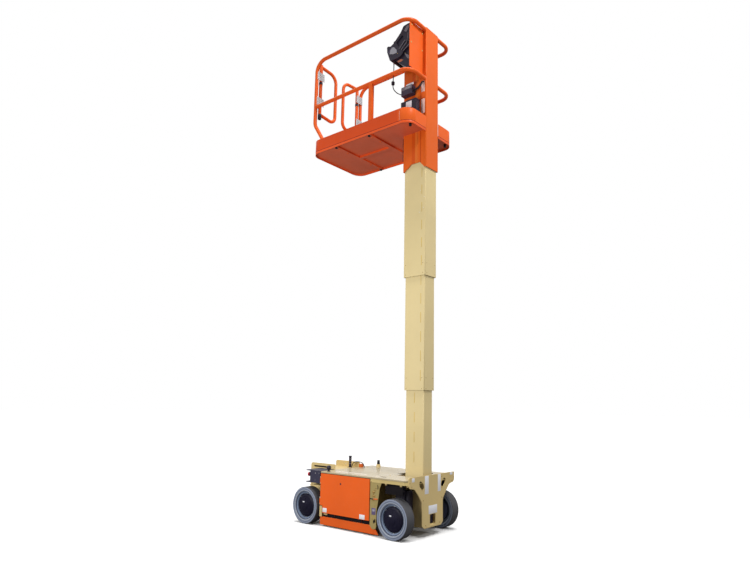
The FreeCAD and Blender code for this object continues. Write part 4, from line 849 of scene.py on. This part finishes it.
# Cords: the same route points as the CAD tubes
def cord(name, body, points, diameter, replaced):
    """Round cord along a route, in place of its CAD tube."""
    data = bpy.data.curves.new(name, "CURVE")
    data.dimensions = "3D"
    spline = data.splines.new("NURBS")
    spline.points.add(len(points) - 1)
    for point, place in zip(spline.points, points):
        point.co = (*place, 1)
    spline.use_endpoint_u = True
    spline.order_u = 3
    spline.resolution_u = 10
    data.bevel_depth = diameter / 2
    data.bevel_resolution = 4
    data.use_fill_caps = True
    data.materials.append(materials["black_rubber"])
    thing = bpy.data.objects.new(name, data)
    scene.collection.objects.link(thing)
    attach(thing, body)
    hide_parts(replaced)


CABLE, LEAD, DROP_Y = 0.009, 0.008, -0.200
connector = turned("cable_connector", "black_plastic", "platform", (0.316, DROP_Y, 4.172), UP, 28,
                   [(0, 0), (0.0070, 0), (0.0130, 0.006), (0.0165, 0.008), (0.0165, 0.018),
                    (0.0145, 0.020), (0.0145, 0.023), (0.0165, 0.025), (0.0165, 0.035), (0.0100, 0.038),
                    (0.0075, 0.044), (0, 0.044)])
gland = turned("cable_gland", "zinc_plate", "platform", (0.324, DROP_Y, 4.396), UP, 20,
               [(0, 0), (0.0060, 0), (0.0100, 0.004), (0.0100, 0.014), (0.0115, 0.016), (0.0115, 0.036),
                (0, 0.036)])
cord("console_cable_run", "platform",
     [(0.324, DROP_Y, 4.400), (0.324, DROP_Y, 4.310), (0.316, DROP_Y, 4.210), (0.316, DROP_Y, 4.174),
      (0.317, -0.199, 4.140), (0.336, -0.190, 4.104), (0.362, -0.170, 4.078), (0.388, -0.142, 4.070)],
     CABLE, "console_cable")
# name, y at the box, z at the box, x of the bend, x and z where the cable goes into the column
for name, y, start, bend, end, rise in (("column_cable_upper", -0.132, 4.082, 0.556, 0.600, 4.160),
                                        ("column_cable_lower", -0.144, 4.062, 0.572, 0.618, 4.154)):
    cord(name, "platform",
         [(0.518, y, start), (bend, y - 0.002, start + 0.002), (end - 0.004, y + 0.004, start + 0.036),
          (end, y + 0.016, rise - 0.014), (end, -0.101, rise)], CABLE, "console_cable")
cord("battery_lead", "chassis",
     [(-0.418, 0.140, 0.472), (-0.416, 0.140, 0.500), (-0.386, 0.142, 0.526), (-0.340, 0.144, 0.529),
      (-0.294, 0.146, 0.526), (-0.264, 0.148, 0.504), (-0.262, 0.148, 0.478)],
     LEAD, "connector_cable")

# Floor: white to the camera, darker to the light that it throws back
FLOOR_SEEN, FLOOR_LIT, REACH = (0.98, 0.98, 0.98), (0.19, 0.19, 0.19), 60.0
floor_nodes = Nodes("floor")
floor_nodes.shader.inputs["Roughness"].default_value = 0.9
floor_nodes.shader.inputs["Specular IOR Level"].default_value = 0.0
camera_ray = floor_nodes.add("ShaderNodeLightPath").outputs["Is Camera Ray"]
floor_colour = floor_nodes.blend(camera_ray, FLOOR_LIT, FLOOR_SEEN)
floor_nodes.link(floor_colour, floor_nodes.shader.inputs["Base Color"])
floor_data = bpy.data.meshes.new("floor")
floor_data.from_pydata([(-REACH, -REACH, 0), (REACH, -REACH, 0), (REACH, REACH, 0), (-REACH, REACH, 0)], [],
                       [(0, 1, 2, 3)])
floor_data.materials.append(floor_nodes.material)
floor = bpy.data.objects.new("floor", floor_data)
scene.collection.objects.link(floor)

# World: full white where it is seen or mirrored, a weak even light elsewhere
AMBIENT = 0.35
world = bpy.data.worlds.new("world")
scene.world = world
world.use_nodes = True
tree = world.node_tree
background = tree.nodes["Background"]
background.inputs["Color"].default_value = (*WHITE, 1)
rays = tree.nodes.new("ShaderNodeLightPath")
seen = rays.outputs["Is Camera Ray"]
for kind in ("Is Glossy Ray", "Is Transmission Ray"):
    either = tree.nodes.new("ShaderNodeMath")
    either.operation = "MAXIMUM"
    tree.links.new(seen, either.inputs[0])
    tree.links.new(rays.outputs[kind], either.inputs[1])
    seen = either.outputs[0]
strength = tree.nodes.new("ShaderNodeMapRange")
strength.inputs["To Min"].default_value = AMBIENT
strength.inputs["To Max"].default_value = 1.0
tree.links.new(seen, strength.inputs["Value"])
tree.links.new(strength.outputs["Result"], background.inputs["Strength"])


def lamp(name, kind, place, aim, power):
    """Lamp at a place that shines towards its aim."""
    data = bpy.data.lights.new(name, kind)
    data.energy = power
    thing = bpy.data.objects.new(name, data)
    thing.location = place
    thing.rotation_mode = "QUATERNION"
    thing.rotation_quaternion = (Vector(place) - Vector(aim)).to_track_quat("Z", "Y")
    scene.collection.objects.link(thing)
    return data


# Lamps: overhead by its spread, the others by the side of their square
lamp("overhead", "SUN", (0, 0, 9), (0, 0, 0), 2.4).angle = math.radians(34)
lamp("key", "AREA", (4.0, -1.0, 7.2), (0.5, 0, 3.4), 168).size = 0.8
lamp("near_fill", "AREA", (-0.4, -3.4, 1.8), (-0.4, 0, 1.8), 80).size = 1.6
lamp("front_fill", "AREA", (4.6, 1.4, 2.9), (0.6, 0, 2.9), 42).size = 0.6
scene.view_settings.view_transform = "Standard"
